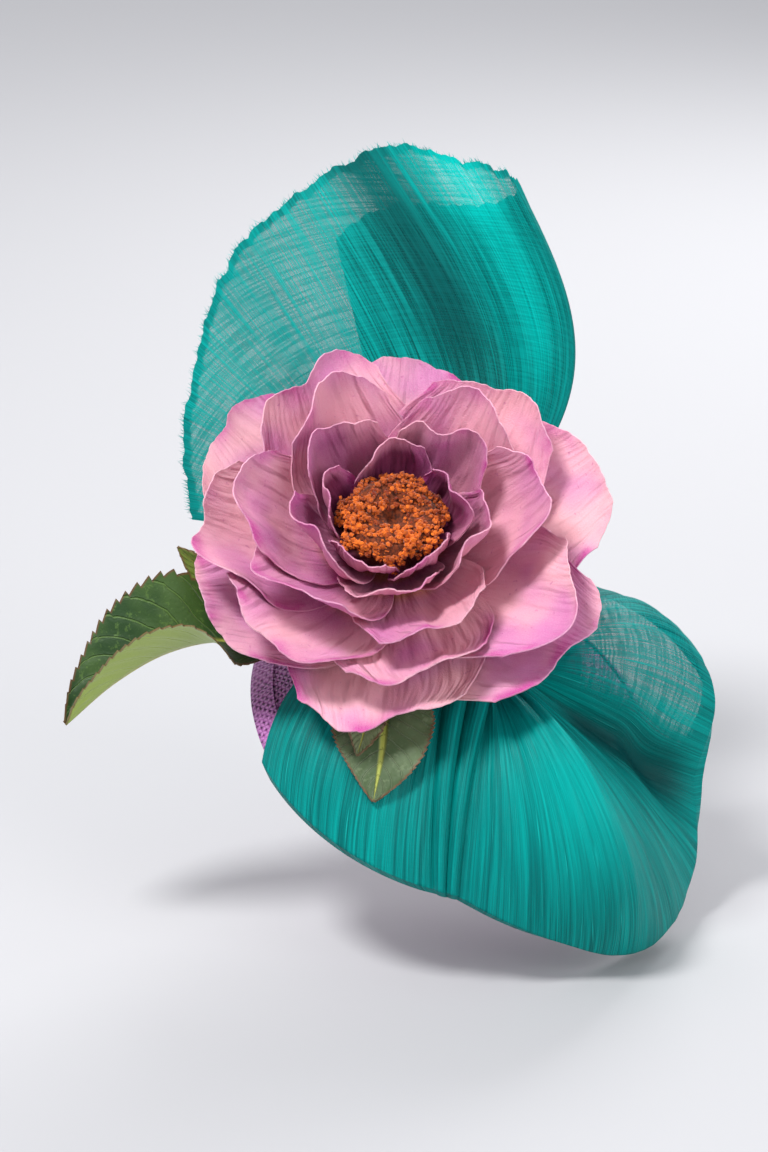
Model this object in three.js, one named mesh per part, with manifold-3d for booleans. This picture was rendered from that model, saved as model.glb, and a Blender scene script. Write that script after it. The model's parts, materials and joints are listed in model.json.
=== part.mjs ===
// Fascinator headpiece: a domed sinamay base with a wrap, pleats, lobe and fin of silk abaca,
// a fabric rose of separate petals, two wired leaf sprays and a wire comb sewn under the front.
// Millimetres, +Z up as worn, -Y to the front. The origin is the middle of the base's underside.
import * as THREE from "three";
import { mergeVertices } from "three/addons/utils/BufferGeometryUtils.js";
import Module from "manifold-3d";

const manifold = await Module();
manifold.setup();

// Base: two layers of sinamay blocked on a round head, with a wire and a binding at the rim.
const headRadius = 88;
const baseWidth = 126;
const innerLayerThickness = 0.9;
const outerLayerThickness = 0.9;
const layerGap = 0.3;
const rimWireRadius = 0.8;
const bindingThickness = 0.5;
const bindingWidth = 6;
const seatNormal = new THREE.Vector3(0.267, -0.397, 0.878).normalize();

// Silk abaca: cloth thickness, and how far it stands off the cover.
const silkThickness = 0.8;
const wrapLift = 2.0;
const wrapPuff = 2.4;
const hemDrop = 3.6;
const pleatCrown = 3.2;

// Fin: its height above its root, and how far it leans back.
const finHeight = 135;
const finLean = 20;
const finRootLift = 5;
const finRootHalfWidth = 12;
const finNeck = 8;
const finBelly = 5;
const finLayerGap = 6;
const finBindingWireRadius = 0.6;

// Rose: five rings of petals on a moulded receptacle, on a wired stem.
const roseLean = 40;
const stemLength = 34;
const stemRadius = 1.6;
const receptacleRadius = 5;
const receptacleGap = 1.0;
const calyxDrop = 2;
const calyxDepth = 7;
const petalThickness = 0.7;
const petalTwist = 1.75;
const petalClaw = 3.8;
const stamenRadius = 15;

// Leaves.
const leafThickness = 0.8;
const stalkRadius = 0.9;
const frontStalkRadius = 0.7;
const leafGap = 0.6;

// Comb: a straight spine under the front of the base, with hairpin tines that follow the head.
const combSpineLength = 50;
const combSpineRadius = 0.9;
const combWireRadius = 0.45;
const combTineLength = 36;
const combTineCount = 9;
const combHairpinWidth = 2.6;
const combEndDepth = 2.87;
const combAround = -112;
const combInset = 9;
const combSkew = 10;
const lashingGap = 0.35;
const lashingThreadRadius = 0.4;
const lashingCount = 4;

const degree = Math.PI / 180;
const turnSteps = 32;
const capStep = 14.1;
const outerLayerInside = headRadius + innerLayerThickness + layerGap;
const coverOuter = outerLayerInside + outerLayerThickness;
const rimAngle = Math.asin(baseWidth / 2 / headRadius);
const combSpineSag = headRadius - Math.sqrt(headRadius ** 2 - (combSpineLength / 2) ** 2);
const combDepth = combSpineSag + combEndDepth;
const rimArc = coverOuter * rimAngle;
const headCentre = seatNormal.clone().multiplyScalar(-headRadius);

const sinamayColour = 0x96469a;
const silkColour = 0x00857f;
const threadColour = 0x1d5f5a;
const stemColour = 0x46662e;

const fascinator = new THREE.Group();

// A group at a point whose z runs along an axis, with x kept as near to the part's x as it can be.
function framed(origin, zAxis) {
  const z = zAxis.clone().normalize();
  const x = new THREE.Vector3(1, 0, 0).addScaledVector(z, -z.x).normalize();
  const y = z.clone().cross(x);
  const group = new THREE.Group();
  group.quaternion.setFromRotationMatrix(new THREE.Matrix4().makeBasis(x, y, z));
  group.position.copy(origin);
  fascinator.add(group);
  group.updateMatrixWorld(true);
  return group;
}

const crown = framed(headCentre, seatNormal);

// A point over the dome: degrees round the seat, arc length from its top, and lift off the cover.
function onDome(around, arc, lift) {
  const tilt = arc / coverOuter;
  const reach = coverOuter + lift;
  const flat = reach * Math.sin(tilt);
  const side = around * degree;
  const local = new THREE.Vector3(flat * Math.cos(side), flat * Math.sin(side), reach * Math.cos(tilt));
  return local.applyMatrix4(crown.matrixWorld);
}

function domeNormal(point) {
  return point.clone().sub(headCentre).normalize();
}

function material(color, roughness, metalness = 0) {
  return new THREE.MeshStandardMaterial({ color, roughness, metalness });
}

function addNode(name, geometry, look, parent = fascinator) {
  const mesh = new THREE.Mesh(geometry, look);
  mesh.name = name;
  parent.add(mesh);
  return mesh;
}

function mix(from, to, share) {
  return from + (to - from) * share;
}

function smooth(share) {
  const s = Math.min(1, Math.max(0, share));
  return s * s * (3 - 2 * s);
}

// A smooth open line through a few chosen points of three numbers each.
function lineThrough(rows) {
  return new THREE.CatmullRomCurve3(rows.map((row) => new THREE.Vector3(...row)), false, "centripetal");
}

// A thin closed piece of cloth. surface(u, v) gives its middle for u and v from 0 to 1, and the
// thickness is laid off along the surface's own normal, u crossed with v.
function clothSolid(surface, across, along, thickness) {
  const step = 1e-3;
  const box = new THREE.BoxGeometry(1, 1, 1, across, along, 1);
  const place = box.getAttribute("position");
  for (let i = 0; i < place.count; i += 1) {
    const u = place.getX(i) + 0.5;
    const v = place.getY(i) + 0.5;
    const u0 = Math.min(u, 1 - step);
    const v0 = Math.min(v, 1 - step);
    const corner = surface(u0, v0);
    const alongU = surface(u0 + step, v0).sub(corner);
    const alongV = surface(u0, v0 + step).sub(corner);
    const normal = alongU.cross(alongV).normalize();
    const point = surface(u, v).addScaledVector(normal, thickness * place.getZ(i));
    place.setXYZ(i, point.x, point.y, point.z);
  }
  box.deleteAttribute("normal");
  box.deleteAttribute("uv");
  const closed = mergeVertices(box, 1e-5);
  closed.computeVertexNormals();
  return closed;
}

// A round wire along an open curve.
function wireAlong(curve, radius, steps, sides = 8) {
  const section = new THREE.Shape();
  section.absarc(0, 0, radius, 0, 2 * Math.PI, false);
  return new THREE.ExtrudeGeometry(section, {
    steps,
    curveSegments: sides / 2,
    bevelEnabled: false,
    extrudePath: curve,
  });
}

// A body turned about z from (radius, height) points that start and end on the axis or meet.
function turned(profile, segments) {
  const points = profile.map(([radius, height]) => new THREE.Vector2(radius, height));
  return new THREE.LatheGeometry(points, segments).rotateX(Math.PI / 2);
}

function toSolid(geometry) {
  const plain = geometry.clone();
  plain.deleteAttribute("normal");
  plain.deleteAttribute("uv");
  const merged = mergeVertices(plain, 1e-4);
  const mesh = new manifold.Mesh({
    numProp: 3,
    vertProperties: new Float32Array(merged.getAttribute("position").array),
    triVerts: new Uint32Array(merged.index.array),
  });
  return new manifold.Manifold(mesh);
}

function joined(geometries) {
  const whole = geometries.map(toSolid).reduce((sum, solid) => sum.add(solid));
  const mesh = whole.getMesh();
  const geometry = new THREE.BufferGeometry();
  geometry.setAttribute("position", new THREE.BufferAttribute(mesh.vertProperties, 3));
  geometry.setIndex(new THREE.BufferAttribute(mesh.triVerts, 1));
  geometry.computeVertexNormals();
  return geometry;
}

// Base layers: spherical caps between two radii about the head's centre, cut off at the rim angle.
function capProfile(inner, outer) {
  const arcSteps = Math.ceil((headRadius * rimAngle) / capStep);
  const profile = [];
  for (let i = 0; i <= arcSteps; i += 1) {
    const angle = rimAngle * (1 - i / arcSteps);
    profile.push([inner * Math.sin(angle), inner * Math.cos(angle)]);
  }
  profile.reverse();
  for (let i = 0; i <= arcSteps; i += 1) {
    const angle = rimAngle * (1 - i / arcSteps);
    profile.push([outer * Math.sin(angle), outer * Math.cos(angle)]);
  }
  return profile;
}

function addBase() {
  const layers = [
    ["base_inner_layer", headRadius, innerLayerThickness],
    ["base_outer_layer", outerLayerInside, outerLayerThickness],
  ];
  for (const [name, inner, thickness] of layers) {
    const profile = capProfile(inner, inner + thickness);
    addNode(name, turned(profile, turnSteps), material(sinamayColour, 0.9), crown);
  }
}

function addRim() {
  const middle = (headRadius + coverOuter) / 2;
  const wireAngle = rimAngle + (rimWireRadius + layerGap) / middle;
  const wire = new THREE.TorusGeometry(middle * Math.sin(wireAngle), rimWireRadius, 5, turnSteps);
  wire.translate(0, 0, middle * Math.cos(wireAngle));
  addNode("rim_wire", wire, material(0x8a8d92, 0.4, 0.9), crown);

  const innerFace = headRadius - layerGap - bindingThickness;
  const innerWall = headRadius - layerGap;
  const outerWall = coverOuter + layerGap;
  const outerFace = outerWall + bindingThickness;
  const legEnd = rimAngle - bindingWidth / middle;
  const foldInside = wireAngle + (rimWireRadius + layerGap) / middle;
  const foldOutside = foldInside + bindingThickness / middle;
  const corners = [
    [innerFace, legEnd],
    [innerFace, foldOutside],
    [outerFace, foldOutside],
    [outerFace, legEnd],
    [outerWall, legEnd],
    [outerWall, foldInside],
    [innerWall, foldInside],
    [innerWall, legEnd],
    [innerFace, legEnd],
  ];
  const profile = corners.map(([radius, angle]) => [radius * Math.sin(angle), radius * Math.cos(angle)]);
  addNode("rim_binding", turned(profile, turnSteps), material(sinamayColour, 0.9), crown);
}

// The line down the front between the left wrap and the lobe, where the pleats run together.
const pleatTopAround = -104;
const pleatTopArc = 22;
const pleatBottomAround = -92.5;
const pastRim = 3.6;
const hemRun = 1.6;
const hemStart = 0.9;

// Arc length of cloth that runs from a top arc to just past the rim, where its hem turns down.
function overRim(top, share, beyond = pastRim) {
  const turn = Math.max(0, (share - hemStart) / (1 - hemStart));
  return mix(top, rimArc + beyond, Math.min(1, share / hemStart)) + hemRun * turn;
}

function hemmed(lift, share) {
  return lift - hemDrop * Math.max(0, (share - hemStart) / (1 - hemStart));
}

function besidePleats(share, topOffset, bottomOffset) {
  const arc = overRim(pleatTopArc, share);
  const offset = mix(topOffset, bottomOffset, share);
  const around = mix(pleatTopAround, pleatBottomAround, share);
  return { arc, around: around + offset / (coverOuter * Math.sin(arc / coverOuter)) / degree };
}

function addLeftWrap() {
  const topLeftAround = 172;
  const bottomLeftAround = 210;
  const topLeftArc = 44;
  const wrapOffsets = [-9, -3.6];
  addNode("left_wrap", clothSolid((u, v) => {
    const right = besidePleats(v, ...wrapOffsets);
    const left = mix(topLeftAround, bottomLeftAround, v);
    const around = mix(left, right.around + 360, u);
    const top = mix(topLeftArc, pleatTopArc, smooth(u));
    const arc = overRim(top, v);
    const puff = wrapPuff * Math.sin(Math.PI * u) * Math.sin(Math.PI * v);
    return onDome(around, arc, hemmed(wrapLift + puff, v));
  }, 14, 10, silkThickness), material(silkColour, 0.45));
}

function addPleats() {
  const pleats = [
    { name: "pleat_inner", middle: [-5.2, -1.7], half: [3.0, 1.3] },
    { name: "pleat_outer", middle: [2.2, 1.5], half: [2.8, 1.0] },
  ];
  for (const { name, middle, half } of pleats) {
    addNode(name, clothSolid((u, v) => {
      const side = 2 * u - 1;
      const place = besidePleats(v, middle[0] + side * half[0], middle[1] + side * half[1]);
      const crownLift = pleatCrown * Math.cos(0.5 * Math.PI * side) * mix(1, 0.5, v);
      return onDome(place.around, place.arc, hemmed(wrapLift + crownLift, v));
    }, 4, 10, silkThickness), material(silkColour, 0.45));
  }
}

// Lobe: its rim past the base and its gathered line under the rose, each point given by degrees
// round the seat, arc beyond the base's rim (or arc from the top, for the gather) and lift.
const lobeRim = lineThrough([
  [-88.5, 4, 1.8],
  [-80, 8, 2],
  [-65, 16, 3],
  [-50, 24, 5],
  [-36, 27, 7],
  [-22, 23, 9],
  [-8, 2, 18],
  [0, -14, 31],
  [10, -24, 32],
  [24, -32, 29],
  [42, -40, 24],
  [62, -45, 17],
]);
const lobeGather = lineThrough([
  [-92, 22, 2.2],
  [-60, 15, 3],
  [0, 13, 4],
  [62, 16, 5.5],
]);

function lobePuff(u) {
  const front = 15 * Math.exp(-(((u - 0.27) / 0.13) ** 2));
  const valley = 5 * Math.exp(-(((u - 0.52) / 0.07) ** 2));
  const upper = 9 * Math.exp(-(((u - 0.72) / 0.14) ** 2));
  return front + upper - valley;
}

function addRightLobe() {
  const startOffsets = [6.4, 3.6];
  addNode("right_lobe", clothSolid((u, v) => {
    const rim = lobeRim.getPoint(u);
    const gather = lobeGather.getPoint(u);
    const start = besidePleats(v, ...startOffsets);
    const hold = 1 - smooth(u / 0.2);
    const around = mix(mix(gather.x, rim.x, v), start.around, hold);
    const arc = mix(overRim(gather.y, v, rim.y), start.arc, hold);
    const spread = mix(gather.z, rim.z, v) + lobePuff(u) * Math.sin(Math.PI * v ** 0.9);
    return onDome(around, arc, hemmed(spread, v));
  }, 24, 10, silkThickness), material(silkColour, 0.45));
}

// Fin: one length of silk folded double at its right edge. Its outline is drawn in its own plane,
// x to the right, y up the fin and z to the front, and scaled with its height.
const finDrawnHeight = 135;
const finRim = lineThrough([
  [-73.5, 16, 8],
  [-76, 38, 9],
  [-71.5, 68, 7],
  [-65, 90, 4],
  [-54, 108, 0],
  [-34, 124.5, -5],
  [-11, 135, -7],
  [11, 130, -2],
  [26, 124, 2],
  [29, 121, -3],
  [20, 116, -9],
  [3, 117, -12],
  [-15, 115, -13],
  [-29, 106, -12],
]);
const finRoot = lineThrough([
  [-1, 0, 1.6],
  [-0.5, 1, 1.8],
  [0, 2, 1.9],
  [0.6, 2.4, 1.9],
  [1, 2.6, 0],
  [0.6, 2.4, -1.9],
  [-0.2, 2, -1.9],
  [-0.8, 1, -1.8],
]);
const finFoot = onDome(110, 45, finRootLift);
const finFrame = framed(
  finFoot,
  new THREE.Vector3(0, -Math.cos(finLean * degree), Math.sin(finLean * degree)),
);

function addFin() {
  const scale = finHeight / finDrawnHeight;
  const foldAt = 0.655;
  const foldPush = 27;
  const foldSpread = 0.2;
  const backStart = 0.7;
  const rows = 10;
  addNode("fin", clothSolid((u, v) => {
    const rim = finRim.getPoint(u);
    const root = finRoot.getPoint(u);
    const neck = Math.min(1, v * rows);
    const fan = Math.max(0, (v * rows - 1) / (rows - 1));
    const push = foldPush * Math.exp(-(((u - foldAt) / foldSpread) ** 2));
    const swell = Math.sin(Math.PI * fan ** 0.85);
    const back = smooth((u - foldAt) / (backStart - foldAt));
    const x = mix(root.x * finRootHalfWidth, rim.x * scale, fan) + push * scale * swell;
    const y = mix(root.y + finNeck * neck, rim.y * scale, fan);
    const z = mix(root.z, rim.z, fan) + (finBelly - back * finLayerGap) * swell;
    return new THREE.Vector3(x, y, z);
  }, 28, rows, silkThickness), material(silkColour, 0.45), finFrame);

  const ringDepth = 4.6;
  const ringClearance = 3.2;
  const ring = new THREE.TorusGeometry(1, finBindingWireRadius / ringDepth, 6, 24);
  ring.scale(finRootHalfWidth + ringClearance, ringDepth, ringDepth);
  ring.rotateX(Math.PI / 2);
  ring.translate(0, finNeck / 2 + 1, 0);
  addNode("fin_binding", ring, material(threadColour, 0.8), finFrame);
}

// Rose. Its group stands at the end of the stem, z along the flower's axis, so petal profiles are
// drawn as (distance from the axis, height along it).
const stemFoot = onDome(136, 38, stemRadius + 2.2);
const roseAxis = new THREE.Vector3(0, -Math.sin(roseLean * degree), Math.cos(roseLean * degree));
const rose = framed(stemFoot.clone().addScaledVector(roseAxis, stemLength), roseAxis);

// Each ring of petals: the four Bezier points of its profile, petal half width, and where its
// petals point, in degrees anticlockwise from the flower's right.
const petalRings = [
  {
    profile: [[6, 2], [17, 2], [20, 10], [20.5, 23]],
    half: 12.5,
    point: [20, 92, 164, 236, 308],
  },
  {
    profile: [[6, -2], [18, -2.5], [27, 7], [28, 27]],
    half: 18,
    point: [56, 128, 200, 272, 344],
  },
  {
    profile: [[6, -6], [22, -7], [38, 4], [42, 25]],
    half: 23,
    point: [8, 52, 118, 174, 220, 292],
  },
  {
    profile: [[6, -10], [28, -12], [50, -1], [55, 16]],
    half: 28,
    point: [52, 118, 178, 222, 280, 330],
  },
  {
    profile: [[6, -14.4], [30, -17.6], [56, -10.5], [66, 3]],
    half: 33,
    point: [24, 86, 140, 200, 267, 324],
  },
];

function bezier(points, t) {
  const s = 1 - t;
  const weights = [s * s * s, 3 * s * s * t, 3 * s * t * t, t * t * t];
  const sum = [0, 0];
  points.forEach(([radius, height], i) => {
    sum[0] += weights[i] * radius;
    sum[1] += weights[i] * height;
  });
  return sum;
}

function petalSurface({ profile, half }, turn) {
  const roundTip = 0.14;
  const widest = 0.72;
  const tipNarrowing = 0.22;
  const step = 1e-3;
  return (u, v) => {
    const side = 2 * u - 1;
    const t = v * (1 - roundTip * side * side);
    const [radius, height] = bezier(profile, t);
    const [radiusOn, heightOn] = bezier(profile, t + step);
    const slope = Math.hypot(radiusOn - radius, heightOn - height);
    const reach = mix(petalClaw, half, Math.sin(0.5 * Math.PI * Math.min(1, v / widest)));
    const narrowed = reach * (1 - tipNarrowing * smooth((v - widest) / (1 - widest)));
    const swing = (side * narrowed) / radius;
    const lift = petalTwist * swing;
    const flat = radius - (lift * (heightOn - height)) / slope;
    const up = height + (lift * (radiusOn - radius)) / slope;
    const angle = turn * degree + swing;
    return new THREE.Vector3(flat * Math.cos(angle), flat * Math.sin(angle), up);
  };
}

function addRose() {
  const petalColours = [0x7c1c50, 0xa84a86, 0xc070a4, 0xcb84b0, 0xd497bd];
  petalRings.forEach((ring, level) => {
    ring.point.forEach((turn, i) => {
      const name = `petal_ring${level + 1}_${i + 1}`;
      const mesh = clothSolid(petalSurface(ring, turn), 5, 5, petalThickness);
      addNode(name, mesh, material(petalColours[level], 0.85), rose);
    });
  });

  const stamens = [
    [0, 4.2],
    [8, 4.4],
    [13, 8],
    [stamenRadius, 12.5],
    [12, 17],
    [6, 19.5],
    [0, 20],
  ];
  addNode("stamen_cluster", turned(stamens, 24), material(0xb45010, 0.9), rose);

  const lowestPetal = petalRings.at(-1).profile[0][1];
  const top = petalRings[0].profile[0][1] + 1.6;
  const core = [
    [0, lowestPetal - 1.5],
    [receptacleRadius - receptacleGap, lowestPetal - 1.5],
    [receptacleRadius - receptacleGap, top - 1],
    [receptacleRadius - receptacleGap - 1, top],
    [0, top],
  ];
  addNode("receptacle", turned(core, 16), material(0xb9c48a, 0.7), rose);

  const cupTop = lowestPetal - calyxDrop;
  const cup = [
    [0, cupTop - calyxDepth],
    [stemRadius + 2, cupTop - calyxDepth],
    [8, cupTop - 3.4],
    [11.5, cupTop - 1.6],
    [10.5, cupTop - 1],
    [7, cupTop - 2],
    [0, cupTop - 2.4],
  ];
  addNode("calyx", turned(cup, 16), material(stemColour, 0.7), rose);
}

// Turns of sewing thread round a wire, drawn as one ring about z.
function threadRing(wireRadius) {
  const radius = wireRadius + lashingGap + lashingThreadRadius;
  return new THREE.TorusGeometry(radius, lashingThreadRadius, 6, 14);
}

// Stem: from under the calyx down to the cover, then bent to lie along it, where thread binds it.
function addStem() {
  const calyxBottom = petalRings.at(-1).profile[0][1] - calyxDrop - calyxDepth;
  const top = new THREE.Vector3(0, 0, calyxBottom - layerGap).applyMatrix4(rose.matrixWorld);
  const along = new THREE.Vector3(0, -1, 0);
  const outward = domeNormal(stemFoot);
  along.addScaledVector(outward, -along.dot(outward)).normalize();
  const knee = stemFoot.clone().addScaledVector(roseAxis, 5);
  const toe = stemFoot.clone().addScaledVector(along, 15).addScaledVector(outward, -0.5);
  const bend = stemFoot.clone().addScaledVector(along, 3.5);
  const path = new THREE.CatmullRomCurve3([top, knee, bend, toe], false, "centripetal");
  addNode("flower_stem", wireAlong(path, stemRadius, 14), material(stemColour, 0.7));

  const boundAt = 0.86;
  const holder = framed(path.getPoint(boundAt), path.getTangent(boundAt));
  addNode("stem_binding", threadRing(stemRadius), material(threadColour, 0.8), holder);
}

// Leaf: a blade either side of a midrib line, folded up along it by a share of its width. A draped
// leaf keeps its midrib's height over the dome all the way across.
function leafSolid(midrib, sideways, halfWidth, foldAt, draped = false) {
  const tipWidth = 0.04;
  const surface = (u, v) => {
    const side = 2 * u - 1;
    const middle = midrib.getPoint(v);
    const tangent = midrib.getTangent(v);
    const across = sideways.clone().addScaledVector(tangent, -sideways.dot(tangent)).normalize();
    const up = across.clone().cross(tangent);
    const width = halfWidth * Math.max(tipWidth, Math.sin(Math.PI * v ** 0.8) ** 0.85);
    const fold = foldAt(v);
    const height = middle.distanceTo(headCentre);
    const point = middle.addScaledVector(across, side * width);
    if (draped) {
      const outward = point.clone().sub(headCentre);
      return outward.setLength(height + fold * width * Math.abs(side)).add(headCentre);
    }
    return point.addScaledVector(up, fold * width * Math.abs(side));
  };
  return clothSolid(surface, 4, 8, leafThickness);
}

function curveOf(points) {
  return new THREE.CatmullRomCurve3(points, false, "centripetal");
}

// Left spray: the stalk leaves the base under the rose and carries a large and a small leaf.
const leftPivot = onDome(178, 50, 6);

function addStalk(side, points, radius, pivot) {
  const path = curveOf(points);
  const holder = framed(pivot, path.getTangent(0.15));
  addNode(`${side}_stalk`, wireAlong(path, radius, 8), material(stemColour, 0.7));
  addNode(`${side}_stalk_binding`, threadRing(radius), material(threadColour, 0.8), holder);
}

// The point that lies x, y and z away from another one.
function beyond(point, x, y, z) {
  return point.clone().add(new THREE.Vector3(x, y, z));
}

function addLeftSpray() {
  const root = beyond(leftPivot, 3, 1.2, -0.3);
  const bend = beyond(leftPivot, -6, -2.5, 0.5);
  const node = beyond(leftPivot, -13, -2, -1.5);
  addStalk("left", [root, leftPivot, bend, node], stalkRadius, leftPivot);

  const largeStart = beyond(node, -2 * leafGap, 0, 0.4);
  const large = curveOf([
    largeStart,
    beyond(largeStart, -14, -1, 4),
    beyond(largeStart, -30, -3.5, 1.5),
    beyond(largeStart, -46, -6.5, -7),
    beyond(largeStart, -61, -11, -19),
  ]);
  const largeFold = (v) => 1.3 * smooth((v - 0.12) / 0.3);
  const acrossLarge = new THREE.Vector3(0, 0.96, 0.28);
  addNode("left_leaf_large", leafSolid(large, acrossLarge, 15, largeFold), material(0x2f5a22, 0.5));

  const smallStart = beyond(node, 1, 9, 4 + leafGap);
  const small = curveOf([
    smallStart,
    beyond(smallStart, -8, 5, 10),
    beyond(smallStart, -15, 9, 20),
  ]);
  const smallAcross = new THREE.Vector3(0.85, 0.15, 0.5);
  addNode("left_leaf_small", leafSolid(small, smallAcross, 7, () => 0.3), material(0x6f8f2c, 0.5));
}

// Front spray: lies over the left wrap, below the rose's front petals.
const frontLift = 6.4;
const frontPivot = onDome(-172, 22, frontLift - 1);

function addFrontSpray() {
  const root = onDome(177, 21, frontLift - 1);
  const bend = onDome(-165, 24, frontLift);
  const node = onDome(-160, 26, frontLift);
  addStalk("front", [root, frontPivot, bend, node], frontStalkRadius, frontPivot);

  const across = new THREE.Vector3(0.85, -0.1, 0.3);
  const large = curveOf([
    onDome(-158, 27, frontLift),
    onDome(-141, 37, frontLift + 0.4),
    onDome(-128, 48, frontLift + 0.4),
    onDome(-121, 60, frontLift),
  ]);
  addNode("front_leaf_large", leafSolid(large, across, 14, () => 0.03, true), material(0x5f7346, 0.6));

  const smallLift = frontLift + leafThickness + 1.2;
  const small = curveOf([
    onDome(-149, 35, smallLift),
    onDome(-142, 41, smallLift + 0.5),
    onDome(-136, 48, smallLift + 0.3),
  ]);
  addNode("front_leaf_small", leafSolid(small, across, 6, () => 0.05, true), material(0x75885c, 0.6));
}

// Comb frame: x along the spine, y the way the tines point over the head, z away from the head.
const combArc = rimArc - combInset;
const combSpine = onDome(combAround, combArc, -(coverOuter - headRadius) - combDepth);
const combOut = domeNormal(combSpine);
const combAlong = onDome(combAround + 1, combArc, 0).sub(onDome(combAround - 1, combArc, 0)).normalize();
const comb = new THREE.Group();
comb.quaternion.setFromRotationMatrix(
  new THREE.Matrix4().makeBasis(combAlong, combOut.clone().cross(combAlong), combOut),
);
comb.rotateZ(-combSkew * degree);
comb.position.copy(combSpine);
fascinator.add(comb);

function addComb() {
  const tineCurve = headRadius - combDepth;
  const pitch = ((combSpineLength - combHairpinWidth) / (combTineCount - 1)) * 0.98;
  const bendRadius = combHairpinWidth / 2;
  const pieces = [];
  const spine = new THREE.CylinderGeometry(combSpineRadius, combSpineRadius, combSpineLength, 10);
  pieces.push(spine.rotateZ(Math.PI / 2));
  for (let i = 0; i < combTineCount; i += 1) {
    const middle = (i - (combTineCount - 1) / 2) * pitch;
    const points = [];
    const straight = combTineLength - bendRadius;
    const place = (x, y) => new THREE.Vector3(middle + x, y, (-y * y) / (2 * tineCurve));
    for (const share of [0, 0.33, 0.66, 1]) points.push(place(-bendRadius, straight * share));
    points.push(place(0, combTineLength));
    for (const share of [1, 0.66, 0.33, 0]) points.push(place(bendRadius, straight * share));
    pieces.push(wireAlong(curveOf(points), combWireRadius, 14, 6));
  }
  const endLoop = new THREE.TorusGeometry(1.7, combWireRadius, 6, 12);
  pieces.push(endLoop.translate(combSpineLength / 2 + 1.2, 0, 0));
  addNode("wire_comb", joined(pieces), material(0x8f9297, 0.35, 1), comb);

  const lashingBottom = -(combSpineRadius + lashingGap + 2 * lashingThreadRadius);
  for (let i = 0; i < lashingCount; i += 1) {
    const slot = Math.round(((i + 0.5) / lashingCount) * (combTineCount - 1)) - 0.5;
    const x = (slot - (combTineCount - 1) / 2) * pitch;
    const layerAt = Math.sqrt(headRadius ** 2 - x ** 2) - (headRadius - combDepth);
    const lashingTop = layerAt - bindingThickness - 4 * layerGap - lashingThreadRadius;
    const halfHeight = (lashingTop - lashingBottom) / 2;
    const halfWidth = combSpineRadius + lashingGap + lashingThreadRadius;
    const ring = new THREE.TorusGeometry(halfWidth, lashingThreadRadius, 6, 16);
    ring.scale(1, halfHeight / halfWidth, 1);
    ring.rotateX(Math.PI / 2);
    ring.rotateZ(Math.PI / 2);
    ring.translate(x, 0, (lashingTop + lashingBottom) / 2);
    addNode(`comb_lashing_${i + 1}`, ring, material(threadColour, 0.8), comb);
  }
}

addBase();
addRim();
addLeftWrap();
addPleats();
addRightLobe();
addFin();
addRose();
addStem();
addLeftSpray();
addFrontSpray();
addComb();

export default fascinator;
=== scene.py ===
import json
import math
import bpy
import numpy as np
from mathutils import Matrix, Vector


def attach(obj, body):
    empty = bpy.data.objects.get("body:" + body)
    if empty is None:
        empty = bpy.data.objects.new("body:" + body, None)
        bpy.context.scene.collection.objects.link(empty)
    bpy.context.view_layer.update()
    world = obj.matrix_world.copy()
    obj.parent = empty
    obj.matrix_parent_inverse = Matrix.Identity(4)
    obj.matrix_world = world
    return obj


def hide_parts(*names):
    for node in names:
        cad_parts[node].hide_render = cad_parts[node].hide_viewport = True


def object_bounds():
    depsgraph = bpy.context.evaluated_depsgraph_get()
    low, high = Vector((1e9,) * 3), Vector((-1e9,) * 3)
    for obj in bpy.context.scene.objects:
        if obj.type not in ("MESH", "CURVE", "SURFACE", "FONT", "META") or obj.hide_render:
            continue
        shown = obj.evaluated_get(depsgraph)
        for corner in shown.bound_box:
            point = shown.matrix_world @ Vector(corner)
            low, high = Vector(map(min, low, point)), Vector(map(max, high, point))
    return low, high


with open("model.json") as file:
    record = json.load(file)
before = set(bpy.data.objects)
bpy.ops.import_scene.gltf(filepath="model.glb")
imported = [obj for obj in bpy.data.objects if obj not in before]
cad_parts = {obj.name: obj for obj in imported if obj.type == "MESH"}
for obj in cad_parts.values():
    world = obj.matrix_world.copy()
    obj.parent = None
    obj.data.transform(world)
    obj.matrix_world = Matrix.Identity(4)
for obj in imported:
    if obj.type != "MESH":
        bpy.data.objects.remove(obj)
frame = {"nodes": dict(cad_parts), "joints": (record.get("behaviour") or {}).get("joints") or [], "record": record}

cad_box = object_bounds()
record = frame["record"]
mm = 0.001

# ---- Studio ----
# A pale flat floor under the headpiece, a soft light high on the left, one behind that shines through
# the silk, a weak one at the right and one on the far floor. The camera looks slightly down.
aim = Vector((-29.7, -4.5, 31.6)) * mm
camera_distance = 0.95
camera_rise = math.radians(20)
bpy.ops.object.select_all(action="DESELECT")
bpy.ops.object.camera_add(
    location=aim + camera_distance * Vector((0, -math.cos(camera_rise), math.sin(camera_rise))),
    rotation=(math.pi / 2 - camera_rise, 0, 0),
)
camera = bpy.context.object
camera.data.sensor_fit = "VERTICAL"
camera.data.sensor_height = 36
camera.data.lens = 99
bpy.context.scene.camera = camera
bpy.context.scene.view_settings.view_transform = "Standard"

floor_drop = 3 * mm
bpy.ops.mesh.primitive_plane_add(size=9, location=(0, 2, cad_box[0][2] - floor_drop))
studio_floor = bpy.context.object
studio_floor.name = "studio_floor"
paper = bpy.data.materials.new("studio_paper")
paper.use_nodes = True
paper.node_tree.nodes["Principled BSDF"].inputs["Base Color"].default_value = (0.42, 0.42, 0.432, 1)
paper.node_tree.nodes["Principled BSDF"].inputs["Roughness"].default_value = 0.9
studio_floor.data.materials.append(paper)

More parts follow.
